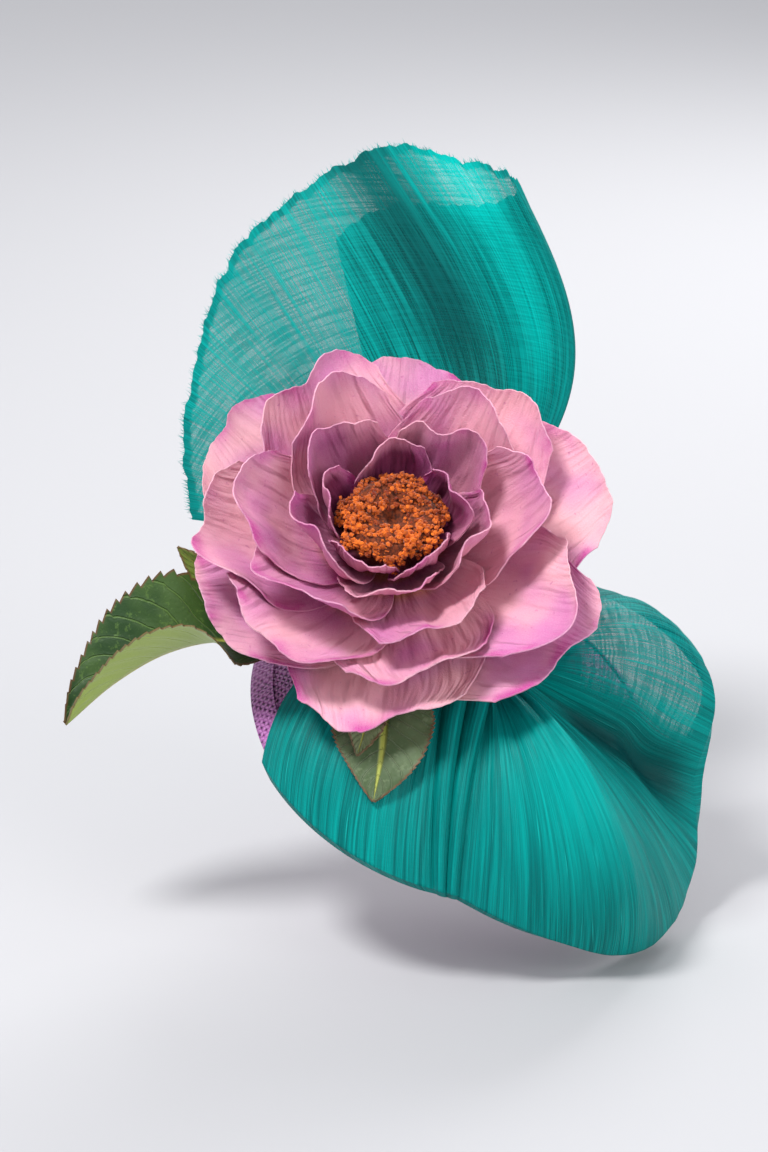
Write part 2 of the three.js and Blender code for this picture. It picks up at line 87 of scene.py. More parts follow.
studio_lights = [
    ("key_light", (-0.55, -0.45, 1.25), aim, 0.36, 21),
    ("back_light", (0.45, 1.00, 0.75), aim, 0.60, 10),
    ("fill_light", (1.00, -0.85, 0.55), aim, 0.80, 8),
    ("sweep_light", (0.0, 2.3, 1.9), Vector((0, 2.2, 0)), 2.5, 24),
]
for name, place, target, size, power in studio_lights:
    bpy.ops.object.light_add(type="AREA", location=place)
    lamp = bpy.context.object
    lamp.name = name
    lamp.data.shape = "DISK"
    lamp.data.size = size
    lamp.data.energy = power
    lamp.rotation_euler = (target - Vector(place)).to_track_quat("-Z", "Y").to_euler()

world = bpy.data.worlds.new("studio_air")
world.use_nodes = True
world.node_tree.nodes["Background"].inputs["Color"].default_value = (0.93, 0.94, 1.0, 1)
world.node_tree.nodes["Background"].inputs["Strength"].default_value = 0.66
bpy.context.scene.world = world


# ---- Base layers ----
# Two layers of sinamay, an open weave of stiffened abaca strands, blocked over a round form with
# the second layer's strands on the bias. They are glued at the rim and carry everything else.
head_radius = 88 * mm
base_width = 126 * mm
layer_thickness = 0.9 * mm
layer_gap = 0.3 * mm
cover_radius = head_radius + 2 * layer_thickness + layer_gap
rim_angle = math.asin(base_width / 2 / head_radius)
rim_arc = cover_radius * rim_angle
seat_normal = -np.array(record["mounts"][0]["axis"], float)
seat_normal /= np.linalg.norm(seat_normal)


def frame_along(origin, axis):
    """A place with z along an axis and x as near to the part's x as it can be."""
    z = np.array(axis, float) / np.linalg.norm(axis)
    x = np.array([1.0, 0, 0]) - z[0] * z
    x /= np.linalg.norm(x)
    return np.array(origin, float), np.array([x, np.cross(z, x), z])


def placed(place, points):
    origin, axes = place
    return origin + np.asarray(points, float) @ axes


crown = frame_along(-head_radius * seat_normal, seat_normal)


def on_dome(around, arc, lift):
    """Degrees round the seat, arc length from its top, and lift off the cover."""
    tilt = np.asarray(arc, float) / cover_radius
    reach = cover_radius + np.asarray(lift, float)
    side = np.radians(around)
    flat = reach * np.sin(tilt)
    local = np.stack(np.broadcast_arrays(flat * np.cos(side), flat * np.sin(side), reach * np.cos(tilt)), -1)
    return placed(crown, local)


def mix(start, end, share):
    return start + (end - start) * share


def smooth(share):
    s = np.clip(share, 0, 1)
    return s * s * (3 - 2 * s)


def bump_at(value, middle, width):
    return np.exp(-(((value - middle) / width) ** 2))


def gridded(points, axis):
    """Length along one way of a grid of points, from 0 at its start."""
    steps = np.linalg.norm(np.diff(points, axis=axis), axis=-1)
    zero = np.zeros_like(np.take(steps, [0], axis))
    return np.concatenate([zero, np.cumsum(steps, axis=axis)], axis)


def grid_faces(start, rows, columns, turned):
    """Four-sided faces over a grid of vertices that is rows by columns."""
    i, j = np.meshgrid(np.arange(rows - 1), np.arange(columns - 1), indexing="ij")
    corner = start + i * columns + j
    ring = [corner, corner + columns, corner + columns + 1, corner + 1]
    if turned:
        ring.reverse()
    return np.stack(ring, -1).reshape(-1, 4)


def object_of(name, mesh):
    """A new object in the scene for a finished mesh."""
    made = bpy.data.objects.new(name, mesh)
    bpy.context.collection.objects.link(made)
    return made


def edit_whole(piece):
    """Opens one piece in edit mode with all of it selected."""
    bpy.ops.object.select_all(action="DESELECT")
    piece.select_set(True)
    bpy.context.view_layer.objects.active = piece
    bpy.ops.object.mode_set(mode="EDIT")
    bpy.ops.mesh.select_all(action="SELECT")


def set_uv(mesh, layer, flat):
    """Fills a UV map, in metres, from one row for each vertex."""
    corners = np.zeros(len(mesh.loops), np.int32)
    mesh.loops.foreach_get("vertex_index", corners)
    layer.data.foreach_set("uv", flat[corners].reshape(-1).astype(np.float32))


def cloth(name, surface, across, along, thickness, fields=None, closed=False):
    """A sheet of cloth with two faces and cut edges. surface(u, v) gives its middle, and its
    right side faces u crossed with v. The UV map is in metres; edge is the distance to the
    outline in mm, wrong_side is 1 on the other face, and fields adds more masks."""
    u, v = np.meshgrid(np.linspace(0, 1, across + 1), np.linspace(0, 1, along + 1), indexing="ij")
    middle = surface(u, v)
    by_u = np.gradient(middle, axis=0)
    if closed:
        by_u[0] = by_u[-1] = middle[1] - middle[-2]
    normal = np.cross(by_u, np.gradient(middle, axis=1))
    normal /= np.maximum(np.linalg.norm(normal, axis=-1, keepdims=True), 1e-12)
    if closed:
        normal[-1] = normal[0]
    from_left = gridded(middle, 0)
    from_root = gridded(middle, 1)
    edge = np.minimum(from_root, from_root[:, -1:] - from_root)
    if not closed:
        edge = np.minimum(edge, np.minimum(from_left, from_left[-1:] - from_left))
    rows, columns = u.shape
    front = (middle + normal * thickness / 2).reshape(-1, 3)
    back = (middle - normal * thickness / 2).reshape(-1, 3)
    count = rows * columns
    faces = [grid_faces(0, rows, columns, False), grid_faces(count, rows, columns, True)]
    index = np.arange(count).reshape(rows, columns)
    rims = [index[:, 0], index[::-1, -1]]
    if not closed:
        rims += [index[-1, :], index[0, ::-1]]
    for rim in rims:
        a, b = rim[:-1], rim[1:]
        faces.append(np.stack([b, a, a + count, b + count], -1))
    faces = np.concatenate(faces)
    mesh = bpy.data.meshes.new(name)
    mesh.from_pydata(np.concatenate([front, back]).tolist(), [], faces.tolist())
    flat = np.stack([(u * from_left[-1].max()), from_root], -1).reshape(-1, 2)
    flat = np.concatenate([flat, flat])
    masks = {"edge": edge / mm, "along": v, "across": u}
    for mask, values in (fields or {}).items():
        masks[mask] = values(u, v) if callable(values) else values
    for mask, values in masks.items():
        doubled = np.tile(np.broadcast_to(values, u.shape).reshape(-1), 2)
        mesh.attributes.new(mask, "FLOAT", "POINT").data.foreach_set("value", doubled.astype(np.float32))
    wrong = np.repeat([0.0, 1.0], count).astype(np.float32)
    mesh.attributes.new("wrong_side", "FLOAT", "POINT").data.foreach_set("value", wrong)
    set_uv(mesh, mesh.uv_layers.new(name="UVMap"), flat)
    mesh.polygons.foreach_set("use_smooth", np.ones(len(mesh.polygons), bool))
    sheet = object_of(name, mesh)
    if closed:
        edit_whole(sheet)
        bpy.ops.mesh.remove_doubles(threshold=1e-6)
        bpy.ops.object.mode_set(mode="OBJECT")
    mesh.set_sharp_from_angle(angle=math.radians(60))
    sides = np.linalg.norm(np.cross(by_u, np.gradient(middle, axis=1)), axis=-1)
    sheet["cloth_width"] = float(from_left[-1].max())
    sheet["cloth_length"] = float(from_root[:, -1].max())
    sheet["cloth_area"] = float(sides[:-1, :-1].sum())
    return sheet


def dress(piece, finish, body, slot, *stands_for):
    """Gives a piece its finish and its body, and the nodes that it stands for."""
    piece.data.materials.append(finish)
    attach(piece, body)
    if stands_for:
        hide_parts(*stands_for)


def add(tree, kind, inputs=None, **settings):
    """One shader node: its settings, and its inputs by name or number, given or linked."""
    made = tree.nodes.new(kind)
    for key, value in settings.items():
        setattr(made, key, value)
    for socket, value in (inputs or {}).items():
        if isinstance(value, bpy.types.NodeSocket):
            tree.links.new(value, made.inputs[socket])
        else:
            made.inputs[socket].default_value = value
    return made


def maths(tree, operation, first, second=0.5, third=0.5, clamp=False):
    inputs = {0: first, 1: second, 2: third}
    return add(tree, "ShaderNodeMath", inputs, operation=operation, use_clamp=clamp).outputs[0]


def ramp(tree, value, low, high, first=0.0, last=1.0):
    """value taken from low..high to first..last, softly and without going past the ends."""
    inputs = {"Value": value, "From Min": low, "From Max": high, "To Min": first, "To Max": last}
    return add(tree, "ShaderNodeMapRange", inputs, interpolation_type="SMOOTHSTEP").outputs[0]


def blend_colour(tree, share, first, second, way="MIX"):
    made = add(tree, "ShaderNodeMix", {"Factor": share}, data_type="RGBA", blend_type=way)
    for socket, value in ((made.inputs[6], first), (made.inputs[7], second)):
        if isinstance(value, bpy.types.NodeSocket):
            tree.links.new(value, socket)
        else:
            socket.default_value = (*value, 1)
    return made.outputs[2]


def mask_of(tree, name):
    return add(tree, "ShaderNodeAttribute", attribute_name=name).outputs["Fac"]


def noise(tree, vector, scale, detail=2.0, roughness=0.5):
    inputs = {"Vector": vector, "Scale": scale, "Detail": detail, "Roughness": roughness}
    return add(tree, "ShaderNodeTexNoise", inputs).outputs["Fac"]


def stretched(tree, vector, by):
    return add(tree, "ShaderNodeMapping", {"Vector": vector, "Scale": by}).outputs[0]


def group_of(name, takes, gives):
    """An empty shader node group with its named sockets."""
    group = bpy.data.node_groups.new(name, "ShaderNodeTree")
    for socket, kind in takes:
        group.interface.new_socket(socket, in_out="INPUT", socket_type=kind)
    for socket, kind in gives:
        group.interface.new_socket(socket, in_out="OUTPUT", socket_type=kind)
    source = group.nodes.new("NodeGroupInput")
    sink = group.nodes.new("NodeGroupOutput")
    return group, source.outputs, sink.inputs


def use_group(tree, group, inputs):
    return add(tree, "ShaderNodeGroup", inputs, node_tree=group).outputs


def new_material(name, roughness, sheen=0.0):
    made = bpy.data.materials.new(name)
    made.use_nodes = True
    tree = made.node_tree
    shader = tree.nodes["Principled BSDF"]
    shader.inputs["Roughness"].default_value = roughness
    shader.inputs["Sheen Weight"].default_value = sheen
    shader.inputs["Sheen Roughness"].default_value = 0.4
    return made, tree, shader


def add_bump(tree, shader, height, distance, strength=1.0):
    made = add(tree, "ShaderNodeBump", {"Height": height, "Distance": distance, "Strength": strength})
    tree.links.new(made.outputs[0], shader.inputs["Normal"])


# Open weave: flat strands over and under each other, each a little out of line and of its own tone.
weave_group, weave_in, weave_out = group_of(
    "open_weave",
    [("Vector", "NodeSocketVector"), ("Pitch", "NodeSocketFloat"), ("Strand", "NodeSocketFloat")],
    [("Cover", "NodeSocketFloat"), ("Height", "NodeSocketFloat"), ("Tone", "NodeSocketFloat")],
)


def weave_strands(tree):
    axes = add(tree, "ShaderNodeSeparateXYZ", {0: weave_in["Vector"]}).outputs
    wobble = noise(tree, weave_in["Vector"], 260.0)
    slow = noise(tree, weave_in["Vector"], 70.0)
    shift = maths(tree, "MULTIPLY_ADD", wobble, 0.5, 0.5)
    shift = maths(tree, "ADD", shift, maths(tree, "MULTIPLY", slow, 1.6))
    covers, tones, tops = [], [], []
    for along, other in ((0, 1), (1, 0)):
        place = maths(tree, "ADD", maths(tree, "DIVIDE", axes[along], weave_in["Pitch"]), shift)
        number = maths(tree, "FLOOR", place)
        inside = maths(tree, "SUBTRACT", place, number)
        off = maths(tree, "ABSOLUTE", maths(tree, "SUBTRACT", inside, 0.5))
        tone = add(tree, "ShaderNodeTexWhiteNoise", {"W": number}, noise_dimensions="1D").outputs["Value"]
        width = maths(tree, "MULTIPLY", weave_in["Strand"], maths(tree, "MULTIPLY_ADD", tone, 0.35, 0.5))
        width = maths(tree, "ADD", width, maths(tree, "MULTIPLY", weave_in["Strand"], 0.30))
        soft = maths(tree, "MULTIPLY", maths(tree, "SUBTRACT", width, off), 9.0)
        cover = maths(tree, "ADD", soft, 0.5, clamp=True)
        round_top = maths(tree, "SUBTRACT", 1.0, maths(tree, "MULTIPLY", off, 2.0))
        crossing = maths(tree, "DIVIDE", axes[other], weave_in["Pitch"])
        wave = maths(tree, "SINE", maths(tree, "MULTIPLY", maths(tree, "ADD", crossing, number), math.pi))
        top = maths(tree, "ADD", round_top, maths(tree, "MULTIPLY", maths(tree, "ABSOLUTE", wave), 0.5))
        covers.append(cover)
        tones.append(tone)
        tops.append(maths(tree, "MULTIPLY", top, cover))
    tree.links.new(maths(tree, "MAXIMUM", *covers), weave_out["Cover"])
    tree.links.new(maths(tree, "MAXIMUM", *tops), weave_out["Height"])
    tree.links.new(maths(tree, "MULTIPLY", maths(tree, "ADD", *tones), 0.5), weave_out["Tone"])


weave_strands(weave_group)
sinamay_pitch = 1.9 * mm


def sinamay_material(name, turn):
    made, tree, shader = new_material(name, 0.55, 0.15)
    flat = add(tree, "ShaderNodeUVMap").outputs[0]
    spun = add(tree, "ShaderNodeMapping", {"Vector": flat, "Rotation": (0, 0, turn)}).outputs[0]
    weave = use_group(tree, weave_group, {"Vector": spun, "Pitch": sinamay_pitch, "Strand": 0.40})
    colour = blend_colour(tree, weave["Tone"], (0.13, 0.020, 0.13), (0.40, 0.10, 0.38))
    glint = ramp(tree, weave["Height"], 0.8, 1.4)
    colour = blend_colour(tree, glint, colour, (0.50, 0.19, 0.48))
    tree.links.new(colour, shader.inputs["Base Color"])
    tree.links.new(weave["Cover"], shader.inputs["Alpha"])
    add_bump(tree, shader, weave["Height"], 0.4 * mm)
    return made


def flat_on_crown(piece):
    """Lays a dome's UV map out from the middle of the crown, as the flat cloth was."""
    origin, axes = crown
    mesh = piece.data
    points = np.zeros(len(mesh.vertices) * 3, np.float32)
    mesh.vertices.foreach_get("co", points)
    local = (points.reshape(-1, 3) - origin) @ axes.T
    flat = np.linalg.norm(local[:, :2], axis=1)
    arc = head_radius * np.arctan2(flat, local[:, 2])
    share = (arc / np.maximum(flat, 1e-9))[:, None]
    set_uv(mesh, mesh.uv_layers["UVMap"], local[:, :2] * share)


base_layers = [
    ("sinamay_inner", "base_inner_layer", head_radius, 0.0),
    ("sinamay_outer", "base_outer_layer", head_radius + layer_thickness + layer_gap, math.radians(38)),
]
middle_hole = 0.15 * mm
for name, node, inner_radius, turn in base_layers:
    height = inner_radius + layer_thickness / 2 - cover_radius
    layer = cloth(
        name,
        lambda u, v, lift=height: on_dome(360 * u, mix(middle_hole, rim_arc, v), lift),
        144, 48, 0.35 * mm, closed=True,
    )
    flat_on_crown(layer)
    dress(layer, sinamay_material(name + "_weave", turn), "headpiece", "sinamay", node)


# ---- Rim ----
# A steel millinery wire lies on the layers' edge, and a bias strip of the same sinamay folds
# over it and both layers. The strip is pressed flat and stitched through.
wire_radius = 0.8 * mm
binding_width = 6 * mm
binding_thickness = 0.5 * mm
binding_leg = 0.42
binding_fold = 0.16


def binding_surface(u, v):
    """A strip folded round the rim: its inner leg, the fold past the wire, and its outer leg."""
    leg = binding_width / head_radius
    past = (2 * wire_radius + 2 * layer_gap) / head_radius
    inner = -(cover_radius - head_radius) - layer_gap - binding_thickness / 2
    outer = layer_gap + binding_thickness / 2
    turn = np.clip((v - binding_leg) / binding_fold, 0, 1)
    run = np.clip(np.where(v < 0.5, v, 1 - v) / binding_leg, 0, 1)
    tilt = rim_angle - leg * (1 - run) + past * np.sin(math.pi * turn) ** 0.6
    lift = mix(inner, outer, 0.5 - 0.5 * np.cos(math.pi * turn))
    return on_dome(-360 * u, cover_radius * tilt, lift)


binding = cloth("rim_strip", binding_surface, 200, 22, binding_thickness * 0.7, closed=True)
dress(binding, sinamay_material("binding_weave", math.radians(45)), "headpiece", "sinamay", "rim_binding")


def metal_material(name, colour, roughness):
    made, tree, shader = new_material(name, roughness)
    where = add(tree, "ShaderNodeTexCoord").outputs["Object"]
    drawn = noise(tree, stretched(tree, where, (900, 900, 900)), 1.0, 3.0)
    tree.links.new(blend_colour(tree, drawn, colour, [c * 1.35 for c in colour]), shader.inputs["Base Color"])
    tree.links.new(ramp(tree, drawn, 0.3, 0.7, roughness * 0.8, roughness * 1.3), shader.inputs["Roughness"])
    shader.inputs["Metallic"].default_value = 1.0
    return made


def refinish(node, finish):
    """Gives a better finish to a node whose shape stays."""
    slots = frame["nodes"][node].data.materials
    slots.clear()
    slots.append(finish)


steel = metal_material("drawn_steel", (0.36, 0.36, 0.38), 0.3)
refinish("rim_wire", steel)


# ---- Silk abaca ----
# The teal cloth: raw silk and abaca fibres laid close one way, with slubs, held by fine cross
# threads about a millimetre apart. It is sheer in one layer and nearly solid in two.
silk_group, silk_in, silk_out = group_of(
    "silk_fibres",
    [("Vector", "NodeSocketVector"), ("Dense", "NodeSocketFloat")],
    [("Cover", "NodeSocketFloat"), ("Height", "NodeSocketFloat"), ("Tone", "NodeSocketFloat"),
     ("Slub", "NodeSocketFloat")],
)


def silk_fibres(tree):
    flat = silk_in["Vector"]
    fine = noise(tree, stretched(tree, flat, (2300, 26, 1)), 1.0, 2.0, 0.6)
    strand = noise(tree, stretched(tree, flat, (750, 11, 1)), 1.0, 2.0)
    band = noise(tree, stretched(tree, flat, (170, 4, 1)), 1.0, 2.0)
    cross = noise(tree, stretched(tree, flat, (60, 1500, 1)), 1.0, 1.0)
    slub = noise(tree, stretched(tree, flat, (900, 34, 1)), 1.0, 1.0)
    slub = ramp(tree, slub, 0.66, 0.76)
    tone = maths(tree, "ADD", maths(tree, "MULTIPLY", fine, 0.55), maths(tree, "MULTIPLY", strand, 0.33))
    tone = maths(tree, "ADD", tone, maths(tree, "MULTIPLY", band, 0.12))
    weft = maths(tree, "MULTIPLY", ramp(tree, cross, 0.40, 0.62), 0.20)
    open_cover = maths(tree, "ADD", ramp(tree, tone, 0.36, 0.64, 0.40, 0.80), weft)
    open_cover = maths(tree, "MAXIMUM", open_cover, slub)
    cover = maths(tree, "ADD", open_cover, silk_in["Dense"], clamp=True)
    height = maths(tree, "ADD", tone, maths(tree, "MULTIPLY", slub, 0.5))
    height = maths(tree, "ADD", height, maths(tree, "MULTIPLY", cross, 0.12))
    tree.links.new(cover, silk_out["Cover"])
    tree.links.new(height, silk_out["Height"])
    tree.links.new(ramp(tree, tone, 0.36, 0.66), silk_out["Tone"])
    tree.links.new(slub, silk_out["Slub"])


silk_fibres(silk_group)


def silk_material():
    made, tree, shader = new_material("silk_abaca_cloth", 0.40, 0.05)
    shader.inputs["Sheen Tint"].default_value = (0.3, 1.0, 0.95, 1)
    shader.inputs["Specular IOR Level"].default_value = 0.12
    flat = add(tree, "ShaderNodeUVMap").outputs[0]
    edge = mask_of(tree, "edge")
    hem = ramp(tree, edge, 0.9, 3.4, 0.6, 0.0)
    dense = maths(tree, "ADD", mask_of(tree, "dense"), hem)
    fibre = use_group(tree, silk_group, {"Vector": flat, "Dense": dense})
    colour = blend_colour(tree, fibre["Tone"], (0.0, 0.155, 0.150), (0.0, 0.45, 0.41))
    colour = blend_colour(tree, maths(tree, "MULTIPLY", fibre["Slub"], 0.7), colour, (0.01, 0.66, 0.60))
    shade = noise(tree, add(tree, "ShaderNodeTexCoord").outputs["Object"], 28.0)
    colour = blend_colour(tree, ramp(tree, shade, 0.35, 0.75, 0.0, 0.30), colour, (0.0, 0.22, 0.22))
    # Painted light and shade in the colour: above 0 this mask paints a highlight in light teal, below 0 it paints
    # shade in near-black teal.
    painted_light_and_shade = mask_of(tree, "painted_light_and_shade")
    colour = blend_colour(tree, ramp(tree, painted_light_and_shade, 0.0, 1.0), colour, (0.0, 0.66, 0.60))
    colour = blend_colour(tree, ramp(tree, painted_light_and_shade, 0.0, -1.0), colour, (0.0, 0.055, 0.058))
    tree.links.new(colour, shader.inputs["Base Color"])
    add_bump(tree, shader, fibre["Height"], 0.5 * mm)
    glow = add(tree, "ShaderNodeBsdfTranslucent")
    tree.links.new(blend_colour(tree, 0.5, colour, (0.0, 0.75, 0.66)), glow.inputs["Color"])
    lit = add(tree, "ShaderNodeMixShader", {0: 0.36, 1: shader.outputs[0], 2: glow.outputs[0]})
    clear = add(tree, "ShaderNodeBsdfTransparent")
    whole = add(tree, "ShaderNodeMixShader", {0: fibre["Cover"], 1: clear.outputs[0], 2: lit.outputs[0]})
    tree.links.new(whole.outputs[0], tree.nodes["Material Output"].inputs["Surface"])
    return made


silk = silk_material()
silk_thickness = 0.3 * mm
wrap_lift = 2.0 * mm
hem_drop = 3.6 * mm
hem_start = 0.9
hem_run = 1.6 * mm
past_rim = 3.6 * mm
pleat_top_arc = 14 * mm


def over_rim(top, share, beyond=past_rim):
    """Arc of cloth that runs from a top arc to past the rim, where its hem turns under."""
    turn = np.maximum(0, (share - hem_start) / (1 - hem_start))
    return mix(top, rim_arc + beyond, np.minimum(1, share / hem_start)) + hem_run * turn


def hemmed(lift, share):
    return lift - hem_drop * np.maximum(0, (share - hem_start) / (1 - hem_start))


def beside_pleats(share, top_offset, bottom_offset):
    """Where a line beside the middle of the pleats runs: degrees round the seat, and arc."""
    arc = over_rim(pleat_top_arc, share)
    offset = mix(top_offset, bottom_offset, share)
    around = mix(-104, -92.5, share) + np.degrees(offset / (cover_radius * np.sin(arc / cover_radius)))
    return around, arc


def wander(values, seed, octaves=4):
    """A smooth repeatable unevenness between about -1 and 1."""
    phases = np.random.default_rng(seed).uniform(0, 2 * math.pi, octaves)
    waves = [np.sin(values * (1.7 ** k) + phases[k]) / (1.4 ** k) for k in range(octaves)]
    return sum(waves) / 1.8


# ---- Left wrap and pleats ----
# One length of silk abaca is wrapped from under the rose down over the front left of the base,
# then folded into two deep pleats that run together at the rim. Its hem is turned under and glued.
def wrap_surface(u, v):
    right_around, _ = beside_pleats(v, -7.4 * mm, -2.2 * mm)
    around = mix(mix(172, 210, v), right_around + 360, u)
    top = mix(44 * mm, pleat_top_arc, smooth(u))
    puff = 2.4 * mm * np.sin(math.pi * u) * np.sin(math.pi * v)
    folds = 0.45 * mm * np.sin(26 * u + 4 * v) * np.sin(math.pi * v) * smooth(u * 3)
    tuck = 1.0 * mm * smooth((u - 0.9) / 0.06)
    return on_dome(around, over_rim(top, v), hemmed(wrap_lift + puff + folds - tuck, v))


left_wrap = cloth("wrap_left", wrap_surface, 110, 90, silk_thickness, {"dense": 0.62})
dress(left_wrap, silk, "headpiece", "silk_abaca", "left_wrap")

pleats = [
    ("pleat_left", "pleat_inner", (-5.2, -1.7), (3.7, 1.6)),
    ("pleat_right", "pleat_outer", (2.2, 1.5), (3.5, 1.6)),
]
pleat_crown = 3.6 * mm
for name, node, middle, half in pleats:
    def pleat_surface(u, v, middle=middle, half=half):
        side = 2 * u - 1
        place = beside_pleats(v, (middle[0] + side * half[0]) * mm, (middle[1] + side * half[1]) * mm)
        crown_lift = pleat_crown * np.cos(0.5 * math.pi * side) ** 0.8 * mix(1, 0.5, v)
        return on_dome(*place, hemmed(wrap_lift + crown_lift, v))

    pleat = cloth(name, pleat_surface, 28, 90, silk_thickness, {"dense": 0.7})
    dress(pleat, silk, "headpiece", "silk_abaca", node)


def line_through(rows):
    """A smooth open line through a few chosen points, as a function of the share along it."""
    points = np.array(rows, float)
    whole = np.vstack([2 * points[0] - points[1], points, 2 * points[-1] - points[-2]])

    def at(share):
        place = np.clip(np.asarray(share, float), 0, 1) * (len(points) - 1)
        start = np.minimum(place.astype(int), len(points) - 2)
        w = (place - start)[..., None]
        p = [whole[start + k] for k in range(4)]
        d = [np.linalg.norm(b - a, axis=-1, keepdims=True) ** 0.5 for a, b in zip(p, p[1:])]
        first = ((p[1] - p[0]) / d[0] - (p[2] - p[0]) / (d[0] + d[1]) + (p[2] - p[1]) / d[1]) * d[1]
        last = ((p[2] - p[1]) / d[1] - (p[3] - p[1]) / (d[1] + d[2]) + (p[3] - p[2]) / d[2]) * d[1]
        square = 3 * (p[2] - p[1]) - 2 * first - last
        cube = 2 * (p[1] - p[2]) + first + last
        return p[1] + first * w + square * w ** 2 + cube * w ** 3

    return at


# ---- Right lobe ----
# The same silk, gathered under the rose and thrown out over the right of the base as a hollow
# lobe: a satin roll in front, a deep valley, and a sheer upper part with a folded rim.
lobe_rim = line_through([
    (-88.5, 4, 1.8),
    (-80, 8, 2),
    (-65, 16, 3),
    (-50, 24, 5),
    (-36, 27, 7),
    (-22, 23, 9),
    (-8, 2, 18),
    (0, -14, 31),
    (10, -24, 32),
    (24, -32, 29),
    (42, -40, 24),
    (62, -45, 17),
])
lobe_gather = line_through([
    (-92, 14, 2.2),
    (-60, 8, 3),
    (0, 7, 4),
    (62, 14, 5.5),
])


def lobe_surface(u, v):
    """u runs along the rim from the pleats round to the back, v from the gather to the rim."""
    rim = lobe_rim(u)
    gather = lobe_gather(u)
    start_around, start_arc = beside_pleats(v, 4.2 * mm, 2.2 * mm)
    hold = 1 - smooth(u / 0.2)
    around = mix(mix(gather[..., 0], rim[..., 0], v), start_around, hold)
    arc = mix(over_rim(gather[..., 1] * mm, v, rim[..., 1] * mm), start_arc, hold)
    puff = 21 * bump_at(u, 0.27, 0.12) + 14 * bump_at(u, 0.74, 0.13)
    puff = puff - (8 + 9 * smooth((v - 0.5) / 0.25)) * bump_at(u, 0.52 + 0.03 * v, 0.05)
    gathers = 1.2 * wander(64 * u, 3) * np.exp(-v / 0.4) * smooth(v / 0.04) * smooth(u / 0.12)
    ripples = 0.7 * wander(46 * u + 3 * v, 4) * np.sin(math.pi * v)
    spread = mix(gather[..., 2], rim[..., 2], v) + puff * np.sin(math.pi * v ** 0.9) + gathers + ripples
    return on_dome(around, arc, hemmed(spread * mm, v))


def lobe_dense(u, v):
    window = smooth((u - 0.55) / 0.05) * smooth((0.90 - u) / 0.08)
    window = window * smooth((v - 0.14) / 0.2) * smooth((0.86 - v) / 0.05)
    return 0.62 * (1 - window)


def lobe_painted_light_and_shade(u, v):
    """A painted highlight where the cloth is pressed flat on the roll, and a painted shade in the valley."""
    valley = bump_at(u, 0.50 + 0.05 * v, 0.045) * smooth((v - 0.12) / 0.25) * smooth((0.97 - v) / 0.2)
    return 0.45 * bump_at(u, 0.25, 0.13) * bump_at(v, 0.42, 0.32) - 0.85 * valley


right_lobe = cloth("lobe_right", lobe_surface, 220, 110, silk_thickness,
                   {"dense": lobe_dense, "painted_light_and_shade": lobe_painted_light_and_shade})
dress(right_lobe, silk, "headpiece", "silk_abaca", "right_lobe")


# ---- Fin ----
# A second length of silk abaca stands up behind the rose. It is folded double at its right edge,
# its raw top edge is left to fray, and its root is bound with thread and sewn to the base.
fin_lean = math.radians(20)
fin_root_half = 12
fin_neck = 8
fin_foot = on_dome(110, 45 * mm, 5 * mm)
fin_place = frame_along(fin_foot, (0, -math.cos(fin_lean), math.sin(fin_lean)))
fin_rim = line_through([
    (-73.5, 16, 8),
    (-76, 38, 9),
    (-71.5, 68, 7),
    (-65, 90, 4),
    (-54, 108, 0),
    (-34, 124.5, -5),
    (-11, 135, -7),
    (11, 130, -2),
    (26, 124, 2),
    (29, 121, -3),
    (20, 116, -9),
    (3, 117, -12),
    (-15, 115, -13),
    (-29, 106, -12),
])
fin_root = line_through([
    (-1, 0, 1.6),
    (-0.5, 1, 1.8),
    (0, 2, 1.9),
    (0.6, 2.4, 1.9),
    (1, 2.6, 0),
    (0.6, 2.4, -1.9),
    (-0.2, 2, -1.9),
    (-0.8, 1, -1.8),
])


def fin_surface(u, v):
    """u runs along the raw edge from the left and back behind the fold, v up from the root."""
    rim = fin_rim(u)
    root = fin_root(u)
    neck = np.minimum(1, v * 10)
    fan = np.maximum(0, (v * 10 - 1) / 9)
    swell = np.sin(math.pi * fan ** 0.85)
    back = smooth((u - 0.655) / 0.045)
    fray = 1 + (0.006 * wander(150 * u, 5) + 0.005 * wander(38 * u, 6)) * smooth((v - 0.9) / 0.1)
    drift = 13 * bump_at(u, 0.46, 0.1) * swell
    push = 27 * bump_at(u, 0.655, 0.2) * swell
    x = mix(root[..., 0] * fin_root_half, rim[..., 0] * fray, fan) + push + drift
    y = mix(root[..., 1] + fin_neck * neck, rim[..., 1] * fray, fan)
    z = mix(root[..., 2], rim[..., 2], fan) + 5 * swell - back * 6 * swell
    folded = smooth(fan * 2.5)
    z -= 10 * np.exp(-np.abs(u - 0.465) / 0.06) * folded * (1 - 0.45 * fan)
    z += 6 * np.exp(-np.abs(u - 0.225) / 0.05) * folded * smooth((fan - 0.35) / 0.3)
    z -= 4.5 * bump_at(u, 0.33, 0.06) * folded
    z += 0.3 * wander(90 * u + v, 8) * np.sin(math.pi * np.clip(fan, 0, 1))
    return placed(fin_place, np.stack([x, y, z], -1) * mm)


def fin_dense(u, v):
    back = 0.5 * smooth((u - 0.66) / 0.03)
    root = 0.6 * smooth((0.55 - v) / 0.4)
    right = 0.25 * smooth((u - 0.56) / 0.06)
    crease = 0.3 * bump_at(u, 0.44, 0.035) * smooth((v - 0.5) / 0.3)
    sheer_patch = 0.45 * bump_at(u, 0.56, 0.06) * smooth((v - 0.78) / 0.1)
    return np.clip(0.02 + back + root + right + crease - sheer_patch, 0, 1)


